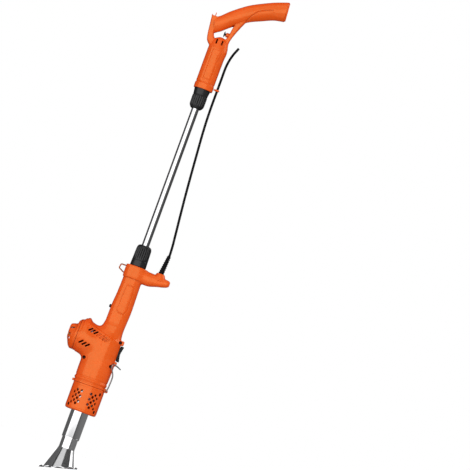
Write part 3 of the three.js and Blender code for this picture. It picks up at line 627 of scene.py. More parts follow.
def screw_shape(length):
    """A domed head with a cross recess on a threaded shank, pointing along +Y from y = 0."""
    grid = Grid((-3.6, -0.6, -3.6), (3.6, length + 0.6, 3.6), 0.2)
    from_axis = np.hypot(grid.x, grid.z)
    dome = np.sqrt(from_axis ** 2 + (grid.y - SCREW["dome"]) ** 2) - SCREW["dome"]
    head = overlap(dome, np.maximum(from_axis - SCREW["head"], grid.y - SCREW["head_height"]), 0.5)
    turns = np.arctan2(grid.z, grid.x) / (2 * math.pi) + grid.y / SCREW["pitch"]
    thread = SCREW["thread"] * (np.abs(2 * (turns % 1) - 1) - 1)
    taper = np.clip((length - grid.y) / 2.5, 0.15, 1)
    shank = np.maximum(from_axis - (SCREW["shank"] + thread) * taper, grid.y - length)
    shank = np.maximum(shank, 0.8 - grid.y)
    reach = 2.0 - 0.9 * np.clip(grid.y / SCREW["recess"], 0, 1)
    slot_x = np.maximum(np.abs(grid.z) - SCREW["blade"], np.abs(grid.x) - reach)
    slot_z = np.maximum(np.abs(grid.x) - SCREW["blade"], np.abs(grid.z) - reach)
    recess = np.maximum(np.minimum(slot_x, slot_z), grid.y - SCREW["recess"])
    return grid.surface(cut(union(head, shank), recess))


def place_case_screws(screws):
    """Screws along Y, from rows of (x, z), the head's y, and +1 or -1 for the way they point."""
    shape = screw_shape(CASE_SCREW_LENGTH)
    for node, ((x, z), head_y, way) in screws.items():
        turn = np.diag([way, way, 1])
        stand_for(node, moved(shape, turn, (x, head_y, z)), "screw_steel")


def screw_seats(grid, shell, outer, screws, side):
    """Adds each screw's boss to one half shell and bores it. side is the half's Y sign."""
    for (x, z), head_y, way in screws.values():
        boss = overlap(rod_field(grid, "y", (x, z), SCREW["boss"]), outer)
        shell = union(shell, boss, 1.0)
        seat = head_y + way * SCREW["head_height"]
        tip = head_y + way * (CASE_SCREW_LENGTH + 1)
        holds_head = seat * side > 0
        if holds_head:
            shell = cut(shell, rod_field(grid, "y", (x, z), SCREW["sink"], low=seat * side), 0.4)
        bore_end = None if holds_head else tip * side
        shell = cut(shell, rod_field(grid, "y", (x, z), SCREW["clearance"], high=bore_end))
    return shell


def half_shells(grid, left_node, right_node, shell, outer, screws, back_dents, front_openings):
    """The back (+Y) and front (-Y) halves of a shell that was drawn on the +Y side."""
    for node, side, hollows in ((left_node, 1, back_dents), (right_node, -1, front_openings)):
        half = screw_seats(grid, cut(shell, hollows, 0.5), outer, screws, side)
        half = overlap(half, GAP / 2 - grid.y, 0.7)
        shape = grid.surface(half)
        stand_for(node, shape if side > 0 else mirrored(shape))
    place_case_screws(screws)


# ---- gun body ----

BARREL = [
    (150, -45, 24, 34.2, 2), (BODY_BOTTOM_Z, -45, 24, 34.2, 2), (226, -45.6, 25, 34.5, 2),
    (245, -45.6, 25.4, 34.5, 2.1), (258, -45.2, 24.2, 34, 2.1), (296, -43, 23.6, 31, 2.2),
    (305, -38, 20.2, 27, 2.2), (322, -28, 18.6, 22.5, 2.2), (336, -25, 19.2, 20, 2.2),
    (366, -24.6, 20.5, 19, 2.2),
    (400, -22.2, 19.8, 18.5, 2.2), (431, -21.4, 19.2, 18.5, 2.2), (500, -21.4, 19.2, 18.5, 2.2),
]
FLANGE = [
    (433, -23.2, 21.6, 20.4, 2.2), (438, -24, 22.6, 21.3, 2.2), (457, -24, 22.6, 21.5, 2.2),
    (460, -23.4, 22, 21, 2.2),
]
MOTOR = [
    (-90, 252, 319, 34.8), (CAP_X, 252, 319, 34.8), (-60, 250, 324.4, 35.7), (-55.5, 249, 326.6, 36.2),
    (-47, 247, 321, 35.6), (-36, 246, 318.5, 34), (-20, 250, 316, 30),
]
ARM = [
    (5, 431, 459, 19, 2.6), (29.4, 429, 458.3, 16, 2.6), (52.5, 434.7, 456.6, 13.5, 2.6),
    (70, 439.5, 455, 11.5, 2.6), (74, 441.8, 453.6, 9.5, 2.6), (75.6, 443.5, 452, 7.5, 2.6),
]
END_CAP = [
    (-89.6, 276, 300.5, 14), (-88.5, 272.5, 302.5, 17), (-86.5, 268, 303.6, 20),
    (-81.5, 257.5, 305.5, 26), (-78.5, 254, 306.5, 29), (-76, 252.6, 308, 31),
    (-74.6, 252.4, 313.4, 33), (CAP_X - GAP, 252.2, 318.6, 34.6), (-60, 252.2, 318.6, 34.6),
]
CAP_TIP_X = -89.6
CAP_LINES = [(-72.2, 0.7, 0.9), (-79.5, 0.5, 0.8)]
CAP_CHANNEL = {"low": 278, "high": 283, "floor_x": -83.5, "web": 4}
CAP_VENT = {"count": 6, "half_width": 1.7, "inner": 18, "outer": 25, "floor_x": -73, "centre_z": 284}
MOTOR_INNER_X = -20
ARM_ENDS_X = (5, 75.6)
BEZEL = ((8, -10.6, 254), (23.2, 10.6, 300))
SWITCH_EAR = {"from_x": 8, "to_x": 28.4, "half_width": 9}
SWITCH_EARS_Z = ((249, 258), (293.6, 303.5))
SLOT_SIZE = (11.4, 3.3)
SLOT_LEAN_DEG = 42
SLOT_FROM_Y = 12
OPEN_SLOTS = [
    (-46.2, 303.5), (-40.5, 301.8), (-33.6, 300.3), (-56.7, 273), (-49.4, 270.9), (-41.6, 269.9),
]
BLIND_SLOTS = [(-26.3, 298.2), (-18.9, 296.1), (-12.6, 294.4), (-6.3, 293.4)]
ROCKER = {
    "x": 22, "z": 275.8, "half_length": 16.6, "half_width": 7.5, "end_gap": 1.6, "side_gap": 0.8,
}
BUTTON = {"z": 364.9, "radius": 3.5, "tip_x": -28.4, "gap": 0.5}
STAND = {"x": 27.3, "z": 193.2, "leg_y": 14, "wire": 1.2}
STAND_LUG = {"eye": 3.4, "bore": 1.6, "half_width": 11, "from_x": 20, "low": 190, "high": 198}
BACK_LUG = ((-48.2, -6, 188), (-42, 6, 197.5))
FEET_BOTTOM_Z = 189.9
FEET_FROM_X = 21.6
RING = {"ends_z": (440.5, 455.5), "wire": 1.35, "bend": 2.0}
RING_SLOT = {"deep_x": -40, "open_x": -15.5, "half_y": 4.2, "half_z": 1.9}
GUARD_RADIUS = 34.2
COLLAR_BORE = {"radius": 14, "low": 440}
CABLE_ARM_X = 50.9
CABLE_SEAT = {"radius": 11.5, "low": 448, "bend": 456.5, "top": 463.2, "taper": 3.0 / 6.7}
CABLE_BORE = {"x": CABLE_ARM_X + 0.6, "radius": 6.3, "low": 449}
BODY_LINES = [(198, 0.9, 1.6), (202.5, -1.1, 1.6), (207.5, 0.7, 1.6)]
MOTOR_LINES = [(-65.5, 0.7, 1.3), (-62.5, -0.5, 1.3)]
GRIP_PANEL = [(-11, 362), (-5, 356), (7, 356), (11, 364), (10, 417), (-8, 417)]
SHOULDER = [(-60, 317.7), (-29, 308.7), (0, 300.3), (14, 299.5), (20, 340), (-60, 340)]
SHOULDER_STEP = {"depth": 1.5, "edge": 1.5, "top": 326, "fade_z": 14, "right": 16, "fade_x": 10}


def slot_fields(grid, places):
    """Slanted vent slots in the XZ plane."""
    length, width = SLOT_SIZE
    lean = math.radians(SLOT_LEAN_DEG)
    reach = (length - width) / 2
    dx, dz = reach * math.cos(lean), reach * math.sin(lean)
    lines = [from_segment(grid, (x - dx, z - dz), (x + dx, z + dz)) for x, z in places]
    return np.minimum.reduce(lines) - width / 2


def body_outside(grid):
    """The gun body's outer surface on one side of the parting plane, with open ends."""
    motor = np.maximum(level_bar(grid, MOTOR), grid.x - MOTOR_INNER_X)
    body = union(upright_bar(grid, BARREL), motor, 9)
    body = union(body, box_field(grid, *BEZEL, 1.0), 1.0)
    for low, high in SWITCH_EARS_Z:
        near = (SWITCH_EAR["from_x"], -SWITCH_EAR["half_width"], low)
        far = (SWITCH_EAR["to_x"], SWITCH_EAR["half_width"], high)
        body = union(body, box_field(grid, near, far, 1.6), 2.5)
    flange = np.maximum(upright_bar(grid, FLANGE), FLANGE[0][0] - grid.z)
    body = union(body, flange, 1.2)
    first_x, last_x = ARM_ENDS_X
    arm = overlap(level_bar(grid, ARM), np.maximum(first_x - grid.x, grid.x - last_x), 2)
    return union(body, arm, 4)


def with_body_details(grid, outside):
    """Presses the rings, the grip's panel and the lowered shoulder into the body's surface."""
    outside = pressed(outside, grid.z, BODY_LINES)
    outside = pressed(outside, grid.x, MOTOR_LINES)
    outside = raised_panel(grid, outside, GRIP_PANEL, 0.9)
    step = SHOULDER_STEP
    lowered = np.clip(0.5 - polygon_field(grid, SHOULDER) / step["edge"], 0, 1)
    lowered = lowered * np.clip((step["top"] - grid.z) / step["fade_z"], 0, 1)
    lowered = lowered * np.clip((step["right"] - grid.x) / step["fade_x"], 0, 1)
    return outside + step["depth"] * lowered


def cable_seat(grid):
    """The boss and the cone on the arm that hold the cable's boot."""
    low, bend, radius = CABLE_SEAT["low"], CABLE_SEAT["bend"], CABLE_SEAT["radius"]
    boss = rod_field(grid, "z", (CABLE_ARM_X, 0), radius, low=low, high=bend)
    from_axis = np.hypot(grid.x - CABLE_ARM_X, grid.y)
    cone = np.maximum(from_axis - radius + (grid.z - bend) * CABLE_SEAT["taper"], low - grid.z)
    return boss, overlap(cone, grid.z - CABLE_SEAT["top"], 0.8)


def body_feet(grid):
    """The lugs at the body's lower end: two for the wire stand and one opposite."""
    lug = STAND_LUG
    eye = rod_field(grid, "y", (STAND["x"], STAND["z"]), lug["eye"], high=lug["half_width"])
    near = (lug["from_x"], -lug["half_width"], lug["low"])
    block = box_field(grid, near, (STAND["x"], lug["half_width"], lug["high"]), 1.0)
    stand_lug = overlap(union(eye, block, 1.5), grid.y - lug["half_width"], 0.6)
    return union(stand_lug, box_field(grid, *BACK_LUG, 1.2))


def body_openings(grid, shell):
    """Cuts the switch window, the button hole, the bores and the strap ring's slots."""
    reach = ROCKER["half_length"] + ROCKER["end_gap"]
    far = (45, ROCKER["half_width"] + ROCKER["side_gap"], ROCKER["z"] + reach)
    shell = cut(shell, box_field(grid, (15, -20, ROCKER["z"] - reach), far, 0.8), 0.4)
    button_hole = BUTTON["radius"] + BUTTON["gap"]
    shell = cut(shell, rod_field(grid, "x", (0, BUTTON["z"]), button_hole, high=-10), 0.5)
    shell = cut(shell, rod_field(grid, "z", (0, 0), COLLAR_BORE["radius"], low=COLLAR_BORE["low"]), 0.5)
    bore = CABLE_BORE
    shell = cut(shell, rod_field(grid, "z", (bore["x"], 0), bore["radius"], low=bore["low"]), 0.4)
    shell = cut(shell, rod_field(grid, "y", (STAND["x"], STAND["z"]), STAND_LUG["bore"]))
    slot = RING_SLOT
    for z in RING["ends_z"]:
        near = (slot["deep_x"], -slot["half_y"], z - slot["half_z"])
        shell = cut(shell, box_field(grid, near, (slot["open_x"], slot["half_y"], z + slot["half_z"]), 0.6))
    return shell


def add_body_shells():
    grid = Grid((-73, -1.6, 189), (79, 39.2, 465), 0.8)
    outside = body_outside(grid)
    hollow = overlap(outside + WALL, grid.z - (BODY_TOP_Z - WALL), 1.0)
    outside = with_body_details(grid, outside)
    outer = overlap(outside, grid.z - BODY_TOP_Z, 1.6)
    for piece in cable_seat(grid):
        outer = union(outer, piece, 1.5)

    shell = union(cut(outer, hollow), np.maximum(body_feet(grid), -hollow), 1.0)
    guard_room = rod_field(grid, "z", (BARREL_X, 0), GUARD_RADIUS + GAP, high=BODY_BOTTOM_Z)
    shell = np.maximum(cut(shell, guard_room), FEET_BOTTOM_Z - grid.z)
    shell = np.maximum(shell, np.minimum(BODY_BOTTOM_Z - grid.z, FEET_FROM_X - grid.x))
    shell = body_openings(grid, overlap(shell, CAP_X - grid.x, 0.6))

    slot_floor = -(outside + BLIND_DEPTH)
    open_slots = np.maximum(slot_fields(grid, OPEN_SLOTS), SLOT_FROM_Y - grid.y)
    blind_slots = np.maximum(slot_fields(grid, BLIND_SLOTS), slot_floor)
    back_slots = np.maximum(slot_fields(grid, OPEN_SLOTS + BLIND_SLOTS), slot_floor)
    front_slots = np.minimum(open_slots, blind_slots)
    half_shells(grid, "body_shell_left", "body_shell_right", shell, outer, BODY_SCREWS,
                back_slots, front_slots)


def add_motor_end_cap():
    """A ringed dome with a channel across its face, webbed in the middle, and vents round it."""
    grid = Grid((-92, -37, 250), (-68, 37, 321), 0.6)
    outside = level_bar(grid, END_CAP)
    dome = overlap(pressed(outside, grid.x, CAP_LINES), CAP_TIP_X - grid.x, 1.6)
    hollow = overlap(outside + WALL, CAP_TIP_X + WALL - grid.x)
    low, high, floor_x = CAP_CHANNEL["low"], CAP_CHANNEL["high"], CAP_CHANNEL["floor_x"]
    channel = overlap(overlap(low - grid.z, grid.z - high), grid.x - floor_x, 0.8)
    channel_wall = overlap(overlap(low - WALL - grid.z, grid.z - high - WALL), grid.x - floor_x - WALL)
    shell = cut(dome, cut(hollow, channel_wall))
    channel = np.maximum(channel, CAP_CHANNEL["web"] - np.abs(grid.y))
    shell = overlap(cut(shell, channel, 0.8), grid.x - (CAP_X - GAP), 0.8)
    up = grid.z - CAP_VENT["centre_z"]
    for i in range(CAP_VENT["count"]):
        turn = math.pi * (2 * i + 1) / CAP_VENT["count"]
        out = grid.y * math.cos(turn) + up * math.sin(turn)
        side = -grid.y * math.sin(turn) + up * math.cos(turn)
        slot = np.maximum(np.abs(side) - CAP_VENT["half_width"], CAP_VENT["inner"] - out)
        slot = np.maximum(slot, out - CAP_VENT["outer"])
        shell = cut(shell, np.maximum(slot, grid.x - CAP_VENT["floor_x"]), 0.5)
    stand_for("motor_end_cap", grid.surface(shell))


# ---- heat end ----

GUARD = {"bottom": 134.8, "top": 192.4, "corner": 5, "wall": 2.4, "mouth": 20.2, "bore": 26.8}
GUARD_LINES = [(139.6, 0.45, 0.9), (187.8, 0.35, 0.8)]
GUARD_LINES_FROM = 30
GUARD_SPIGOT = {"radius": 28.5, "low": 188, "high": 198}
GUARD_SEAT = {"radius": 33, "low": 186, "high": 191.8}
GUARD_HOLE = {"radius": 2.9, "pitch": 11.4, "first": 154.4, "rows": 3, "drop": 0.48, "from": 22}
GUARD_BOSS_FROM = 27.8
GUARD_BORE_FROM = 24
GUARD_COLUMNS_DEG = (18, 27, 36, 47)
GUARD_SCREWS = {
    "guard_screw_front_left": (-56, 143.4),
    "guard_screw_front_right": (56, 143.4),
    "guard_screw_back_right": (124, 143.4),
    "guard_screw_back_left": (236, 143.4),
    "guard_screw_upper_front": (55, 182),
    "guard_screw_upper_back": (125, 182),
}
GUARD_SCREW_SINK = 1.2


def guard_hole_places():
    """(degrees from -Y, z) of every vent hole: four columns on each quarter, in a zigzag."""
    places = []
    for order, column in enumerate(GUARD_COLUMNS_DEG):
        for degrees, on_back in ((column, 0), (-column, 0), (180 + column, 1), (180 - column, 1)):
            drop = GUARD_HOLE["drop"] * ((order + on_back) % 2)
            for row in range(GUARD_HOLE["rows"]):
                places.append((degrees, GUARD_HOLE["first"] + GUARD_HOLE["pitch"] * (row - drop)))
    return places


def drum_field(grid, radius, bottom):
    """A round can standing on its rounded lower edge; radius is each place's distance to the axis."""
    corner = GUARD["corner"]
    a = radius - (GUARD_RADIUS - corner)
    b = (bottom + corner) - grid.z
    return np.hypot(np.maximum(a, 0), np.maximum(b, 0)) + np.minimum(np.maximum(a, b), 0) - corner


def ring_field(grid, radius, outer, inner, low, high):
    """A ring with square edges round the guard's axis."""
    return np.maximum(np.maximum(radius - outer, inner - radius), np.maximum(low - grid.z, grid.z - high))


def add_guard():
    grid = Grid((-45, -36, 133.4), (26, 36, 199.6), 0.6)
    dx = grid.x - BARREL_X
    radius = np.hypot(dx, grid.y)
    angle = np.degrees(np.arctan2(dx, -grid.y))
    drum = drum_field(grid, radius, GUARD["bottom"])
    outside = drum + pressed(0, grid.z, GUARD_LINES) * (radius > GUARD_LINES_FROM)
    shell = np.maximum(cut(outside, drum + GUARD["wall"]), GUARD["mouth"] - radius)
    shell = overlap(shell, grid.z - GUARD["top"], 0.3)
    spigot, seat = (
        ring_field(grid, radius, ring["radius"], GUARD["bore"], ring["low"], ring["high"])
        for ring in (GUARD_SPIGOT, GUARD_SEAT)
    )
    shell = union(shell, union(spigot, seat), 0.8)

    def around(degrees, at_radius):
        """Distance along the drum from a bearing."""
        return np.radians((angle - degrees + 180) % 360 - 180) * at_radius

    for degrees, z in guard_hole_places():
        from_axis = np.hypot(around(degrees, GUARD_RADIUS), grid.z - z)
        hole = np.maximum(from_axis - GUARD_HOLE["radius"], GUARD_HOLE["from"] - radius)
        shell = cut(shell, hole, 0.5)
    for degrees, z in GUARD_SCREWS.values():
        from_axis = np.hypot(around(degrees, radius), grid.z - z)
        wall = np.maximum(radius - GUARD_RADIUS, GUARD_BOSS_FROM - radius)
        shell = union(shell, np.maximum(from_axis - SCREW["boss"], wall), 0.8)
        seat_radius = GUARD_RADIUS - GUARD_SCREW_SINK - SCREW["head_height"]
        shell = cut(shell, np.maximum(from_axis - SCREW["sink"], seat_radius - radius), 0.4)
        shell = cut(shell, np.maximum(from_axis - SCREW["clearance"], GUARD_BORE_FROM - radius))
    stand_for("heat_guard", grid.surface(shell))

    screw = screw_shape(GUARD_SCREW_LENGTH)
    for node, (degrees, z) in GUARD_SCREWS.items():
        turn = math.radians(degrees)
        c, s = math.cos(turn), math.sin(turn)
        inwards = [[c, -s, 0], [s, c, 0], [0, 0, 1]]
        head = GUARD_RADIUS - GUARD_SCREW_SINK
        place = (BARREL_X + head * s, -head * c, z)
        stand_for(node, moved(screw, inwards, place), "screw_steel")


NOZZLE = {"radius": 17, "wall": 0.9, "shoulder": 53.5, "bend": 2.4, "top": 91, "cone_deg": 18.5}
RIM = {
    "tilt_deg": 15.2, "centre": 10.6, "flange": 5.9, "lip": 2.2, "fillet": 0.9,
    "waves": 10, "wave": 1.3, "lift": 1.3,
}
TUBE = {"radius": 19, "wall": 0.9, "mouth": 76.6, "top": 186, "flange": 26}


def add_heat_tube():
    r, wall, mouth, top = TUBE["radius"], TUBE["wall"], TUBE["mouth"], TUBE["top"]
    inner = r - wall
    profile = [
        (inner, mouth + 0.3), (inner + 0.3, mouth), (r - 0.25, mouth), (r, mouth + 0.25),
        (r, mouth + 2.2), (r - 0.15, mouth + 2.6), (r, mouth + 3), (r, top - 4), (r + 0.3, top - 2.6),
        (r + 1.5, top - 1.5), (TUBE["flange"], top - 1.5), (TUBE["flange"], top),
        (inner + 1.6, top), (inner + 0.4, top - 0.6), (inner, top - 2),
    ]
    stand_for("heat_tube", turned(profile, 128, (BARREL_X, 0)), "bright_steel", 30)


def add_nozzle():
    """Neck, rounded shoulder, cone, and a scalloped flange with a lip on a tilted plane."""
    slope = math.tan(math.radians(RIM["tilt_deg"]))
    flare = math.tan(math.radians(NOZZLE["cone_deg"]))
    wall, shoulder, bend = NOZZLE["wall"], NOZZLE["shoulder"], NOZZLE["bend"]
    angles = np.linspace(0, 2 * math.pi, 240, endpoint=False)
    cosine = np.cos(angles)
    ripple = np.cos(RIM["waves"] * angles)
    below = 0.6

    def rim_radius(neck):
        return (neck + flare * (shoulder - RIM["centre"])) / (1 + flare * slope * cosine)

    def on_plane(radius):
        return RIM["centre"] + slope * radius * cosine

    def ring(radius, z):
        radius = np.broadcast_to(radius, angles.shape)
        x = BARREL_X + radius * cosine
        return np.stack([x, radius * np.sin(angles), np.broadcast_to(z, angles.shape)], axis=1)

    def wall_rings(neck, lift):
        """From the neck's top down the cone to the flange's root."""
        rings = [ring(neck, NOZZLE["top"] - t) for t in (0.0, 0.2, 12, 24)]
        for t in np.linspace(0, 1, 7):
            z = shoulder + bend * (1 - t) ** 2 - bend * t ** 2 * below
            rings.append(ring(neck + bend * below * flare * t ** 2, z + lift * t))
        start_r, start_z = neck + bend * below * flare, shoulder - bend * below
        foot_r = rim_radius(neck)
        foot_z = on_plane(foot_r) + lift
        for t in (0.08, 0.25, 0.5, 0.75, 0.9, 0.96):
            rings.append(ring(start_r + (foot_r - start_r) * t, start_z + (foot_z - start_z) * t))
        return rings

    foot = rim_radius(NOZZLE["radius"])
    edge = foot + RIM["flange"] + RIM["wave"] * ripple
    top_side, under_side = [], []
    for t in np.linspace(0, 1, 9):
        radius = foot + 1.0 + (edge - foot - 1.2) * t
        fillet = RIM["fillet"] * np.clip(1 - 4 * t, 0, 1) ** 2
        lip = (RIM["lip"] - wall) * np.clip(4 * t - 3, 0, 1)
        bottom = on_plane(radius) + RIM["lift"] * (1 - ripple) * t ** 2
        top_side.append(ring(radius, bottom + wall + lip + fillet))
        under_side.append(ring(radius, bottom))
    edge_z = on_plane(edge) + RIM["lift"] * (1 - ripple)
    tip = [ring(edge, edge_z + RIM["lip"] - 0.3), ring(edge, edge_z + 0.25)]
    outer = wall_rings(NOZZLE["radius"], wall)
    inner = wall_rings(NOZZLE["radius"] - wall, 0.0)
    rings = outer + top_side + tip + under_side[::-1] + inner[::-1]
    stand_for("nozzle", skin(rings[::-1], looped=True), sharp_deg=40)


# ---- small fittings ----

def add_rocker():
    """A dished rocker with three short ridges near each end."""
    half_length, x, z = ROCKER["half_length"], ROCKER["x"], ROCKER["z"]
    back_x, end_x, crest_x, dish = x - 0.7, x + 2.4, x + 9, 2.6
    outline = [(back_x, z + 3), (back_x, z - 3), (end_x, z - half_length)]
    for t in np.linspace(-1, 1, 21):
        outline.append((crest_x - dish * math.cos(math.pi * t / 2) ** 2, z + half_length * t))
    outline.append((end_x, z + half_length))
    grid = Grid((20, -8.5, 257.5), (32.5, 8.5, 294), 0.4)
    body = extruded(grid, polygon_field(grid, outline), ROCKER["half_width"], 0.8)
    ridges = [(step, 0.25, 0.5) for step in (-13, -11.4, -9.8, 9.8, 11.4, 13)]
    body = body + pressed(0, grid.z - z, ridges) * (grid.x > x + 5)
    stand_for("rocker_switch", grid.surface(body), "gloss_black")


def add_grip_button():
    r, tip = BUTTON["radius"], BUTTON["tip_x"]
    profile = [(0.02, tip)]
    for turn in np.linspace(0.2, math.pi / 2, 8):
        profile.append((r * math.sin(turn), tip + 1.4 * (1 - math.cos(turn))))
    profile += [(r, -20.4), (r + 1.2, -20.4), (r + 1.2, -18.9), (0.02, -18.9)]
    shape = turned(profile, 40, looped=False)
    stand_for("grip_button", along_x(shape, BUTTON["z"]), "gloss_black", 40)


def add_stand():
    x, z, leg_y = STAND["x"], STAND["z"], STAND["leg_y"]
    side = [
        (x + 0.6, leg_y - 0.4, z + 2), (29, leg_y + 0.4, 206), (29.6, leg_y + 1.6, 219),
        (28.8, 17, 229.5), (25, 19, 237.5), (22, 20.4, 243.5), (21.8, 20.6, 248.5),
        (24, 19.4, 251.4), (31, 12.5, 250), (37.4, 4.6, 247.2),
    ]
    near = [(x, 7, z), (x, leg_y - 1.6, z), *side]
    far = [(px, -py, pz) for px, py, pz in near][::-1]
    path = catmull_rom([*near, (39.6, 0, 246.4), *far], 10)
    stand_for("wire_stand", swept(path, STAND["wire"], 14), "wire_steel")


def add_strap_ring():
    low, high = RING["ends_z"]
    corners = [(-19.5, low), (-24.5, low - 0.2), (-36, 446.2), (-34.4, high - 0.3), (-19.5, high)]
    path = bent_wire([(x, 0, z) for x, z in corners], RING["bend"])
    stand_for("strap_ring", swept(path, RING["wire"], 14))


# ---- pole and collars ----

def add_pole():
    low, high, r, inner = POLE_BOTTOM_Z, POLE_TOP_Z, 8, 7
    profile = [(inner, low + 0.4), (inner + 0.3, low), (r - 0.3, low), (r, low + 0.4)]
    profile += [(r, z) for z in np.linspace(460, 890, 9)]
    profile += [(r, high - 0.4), (r - 0.3, high), (inner + 0.3, high), (inner, high - 0.4)]
    stand_for("pole", turned(profile, 96), "pole_steel", 30)


COLLAR_FLUTE_DEPTH = 1.5
LOWER_COLLAR = [
    (14.0, 0.3), (14.3, 0), (17.0, 0), (17.3, 0.4), (17.2, 4), (17.0, 10), (16.9, 13),
    (16.6, 13.6), (16.8, 14.6), (16.7, 18), (16.5, 24), (16.3, 31), (16.1, 36), (15.9, 38.2),
    (15.3, 41), (14.4, 43.2), (13, 44.6), (11.4, 45.6), (10.2, 45.9), (8.9, 45.9), (8.6, 45.5),
    (8.6, 42.9), (11.5, 38.2), (14, 37),
]
UPPER_COLLAR = [
    (14.0, 0.3), (14.3, 0), (17.0, 0), (17.2, 0.4), (17.2, 5), (16.9, 7.5), (16.2, 11.5),
    (15.8, 15), (15.6, 17.4), (15.1, 18.2), (15.8, 19.2), (16.0, 22), (15.9, 28), (15.8, 35),
    (15.7, 39), (15.1, 41.2), (13.6, 43.8), (11.9, 46), (10.6, 47.2), (8.9, 47.2), (8.6, 46.8),
    (8.6, 44.2), (11.5, 38.2), (14, 37),
]


def add_collar(node, base, way, outline, flutes, first, last):
    """A nut from its (radius, height) outline, upright or hanging (way 1 or -1), with rounded flutes."""
    low, high = sorted((base + way * first, base + way * last))

    def fluted(angles, radius, z):
        share = np.clip((z - low) / 2, 0, 1) * np.clip((high - z) / 2, 0, 1) * (radius > 14)
        ridge = np.abs(np.cos(flutes * angles / 2)) ** 0.7
        return radius - COLLAR_FLUTE_DEPTH * share * (1 - ridge), z

    profile = [(radius, base + way * along) for radius, along in outline][::way]
    stand_for(node, turned(profile, 240, shape=fluted), sharp_deg=35)


# ---- cable ----

BOOT = {
    "x": CABLE_ARM_X, "z": 464, "tip_x": 54.6, "tip_z": 504.3,
    "ribs": 9, "rib_depth": 1.1, "widest": 5.9, "narrowest": 4.3,
}
BOOT_LEAN = (BOOT["tip_x"] - BOOT["x"]) / (BOOT["tip_z"] - BOOT["z"])
CABLE_RADIUS = 2.6
CLIP = {"x": 30, "z": 866, "bore": 2.9, "ring": 4.3}


def add_cable():
    """Out of the boot, up past the pole, and straight where the clip slides along it."""
    on_axis = [(BOOT["x"] + BOOT_LEAN * (z - BOOT["z"]), z) for z in (443, 470, 490, 506)]
    route = on_axis + [
        (53.6, 528), (51.5, 549), (43, 633), (36.1, 717), (31.5, 780), (CLIP["x"], 825),
        (CLIP["x"], 866), (CLIP["x"], 890), (CLIP["x"], 915), (30.9, 927), (33.2, 940),
        (36.9, 952.5), (42, 965),
    ]
    path = catmull_rom([(x, 0, z) for x, z in route], 12)
    stand_for("power_cable", swept(path, CABLE_RADIUS, 20))


def add_strain_relief():
    """A ribbed boot that leans along the cable."""
    root, tip = BOOT["z"], BOOT["tip_z"]
    bore = CABLE_RADIUS + 0.45
    ribs, widest, narrowest = BOOT["ribs"], BOOT["widest"], BOOT["narrowest"]
    outline = [(bore, 446), (7.4, 446), (7.6, 446.3), (7.6, 447.7), (7.4, 448), (widest, 448)]
    outline += [(widest, 452), (widest, root - 1)]
    pitch = (tip - root) / ribs
    for i in range(ribs):
        start = root + pitch * i
        crest = widest - (widest - narrowest) * i / (ribs - 1)
        valley = crest - BOOT["rib_depth"]
        outline += [(crest - 0.2, start), (crest, start + 0.3), (crest, start + pitch * 0.55)]
        outline += [(crest - 0.2, start + pitch * 0.62), (valley, start + pitch * 0.68)]
        outline.append((valley, start + pitch * 0.95))
    outline += [(4.0, tip - 0.3), (3.8, tip), (bore, tip)]
    boot = turned([(radius, z - root) for radius, z in outline], 48)
    lean = math.atan(BOOT_LEAN)
    turn = [[math.cos(lean), 0, math.sin(lean)], [0, 1, 0], [-math.sin(lean), 0, math.cos(lean)]]
    stand_for("strain_relief", moved(boot, turn, (BOOT["x"], 0, root)), sharp_deg=35)


def add_cable_clip():
    grid = Grid((20.5, -5.2, 863), (35.4, 5.2, 869), 0.25)
    ring = rod_field(grid, "z", (CLIP["x"], 0), CLIP["ring"])
    ring = overlap(ring, np.abs(grid.z - CLIP["z"]) - 1.8, 0.8)
    arm = box_field(grid, (21.9, -1.8, CLIP["z"] - 1.6), (CLIP["x"], 1.8, CLIP["z"] + 1.6), 0.5)
    clip = cut(union(ring, arm, 1.5), rod_field(grid, "z", (CLIP["x"], 0), CLIP["bore"]), 0.5)
    stand_for("cable_clip", grid.surface(clip))


# ---- upper handle ----

HANDLE_TUBE = [
    (850, -20, 21.2, 20.6), (HANDLE_BOTTOM_Z, -20, 21.2, 20.6), (868.5, -20.2, 21.4, 20.8),
    (872, -19.5, 21, 20.2), (930, -19.5, 21.2, 20.2), (944, -19.5, 22.4, 20.6), (954, -18.7, 20.5, 19),
    (964, -16.5, 18.2, 16), (971, -11, 13.5, 11.5), (975.4, -4, 6, 5),
]
LEFT_STRUT = [
    ((-18.5, 951.5), (-8, 965), 9), ((-27.7, 962), (-13.5, 970), 10), ((-30.6, 975), (-17.4, 977), 10),
    ((-32.6, 992), (-20, 993), 10), ((-35, 1013.5), (-19, 1013.5), 10),
]
RIGHT_STRUT = [
    ((21.5, 947), (5, 962), 10), ((18.4, 966), (8, 972), 9), ((20.6, 979.6), (12.2, 981), 9),
    ((25.4, 994), (14.6, 996), 9), ((32.5, 1012.5), (16.5, 1010), 10), ((37.5, 1023), (20, 1022), 10),
]
GRIP = [
    ((-20, 978), (-28, 1013), 12), ((-11, 982.4), (-19, 1015.5), 14), ((6, 998.3), (-6, 1030), 16),
    ((24, 1011.5), (10.5, 1043.7), 17), ((42, 1025.5), (31.5, 1059.5), 17),
    ((70, 1037.8), (58, 1073.4), 17.5), ((94.5, 1049), (84, 1085.7), 17.5),
    ((103.5, 1049.8), (99, 1090.6), 18), ((111, 1051), (109.5, 1094.2), 19),
]
GRIP_END = [((110.9, 1051.2), (109.4, 1094.5), 18.8), ((114.9, 1054), (112.2, 1092), 17)]
LOOP_BOSS = {"z": 984.3, "radius": 4.9, "from_x": 6.8, "to_x": 14.5, "bore": 3.3, "floor": 1}
HANDLE_SLOTS_X = (-6.3, 5.9)
HANDLE_SLOT = {"half_x": 1.5, "from_y": 8, "low": 957.5, "high": 968.5}
TUBE_OPEN_BELOW = 900
HOOK_ROOM = ((-40, -6, 1012), (-24.5, 5.3, 1030))
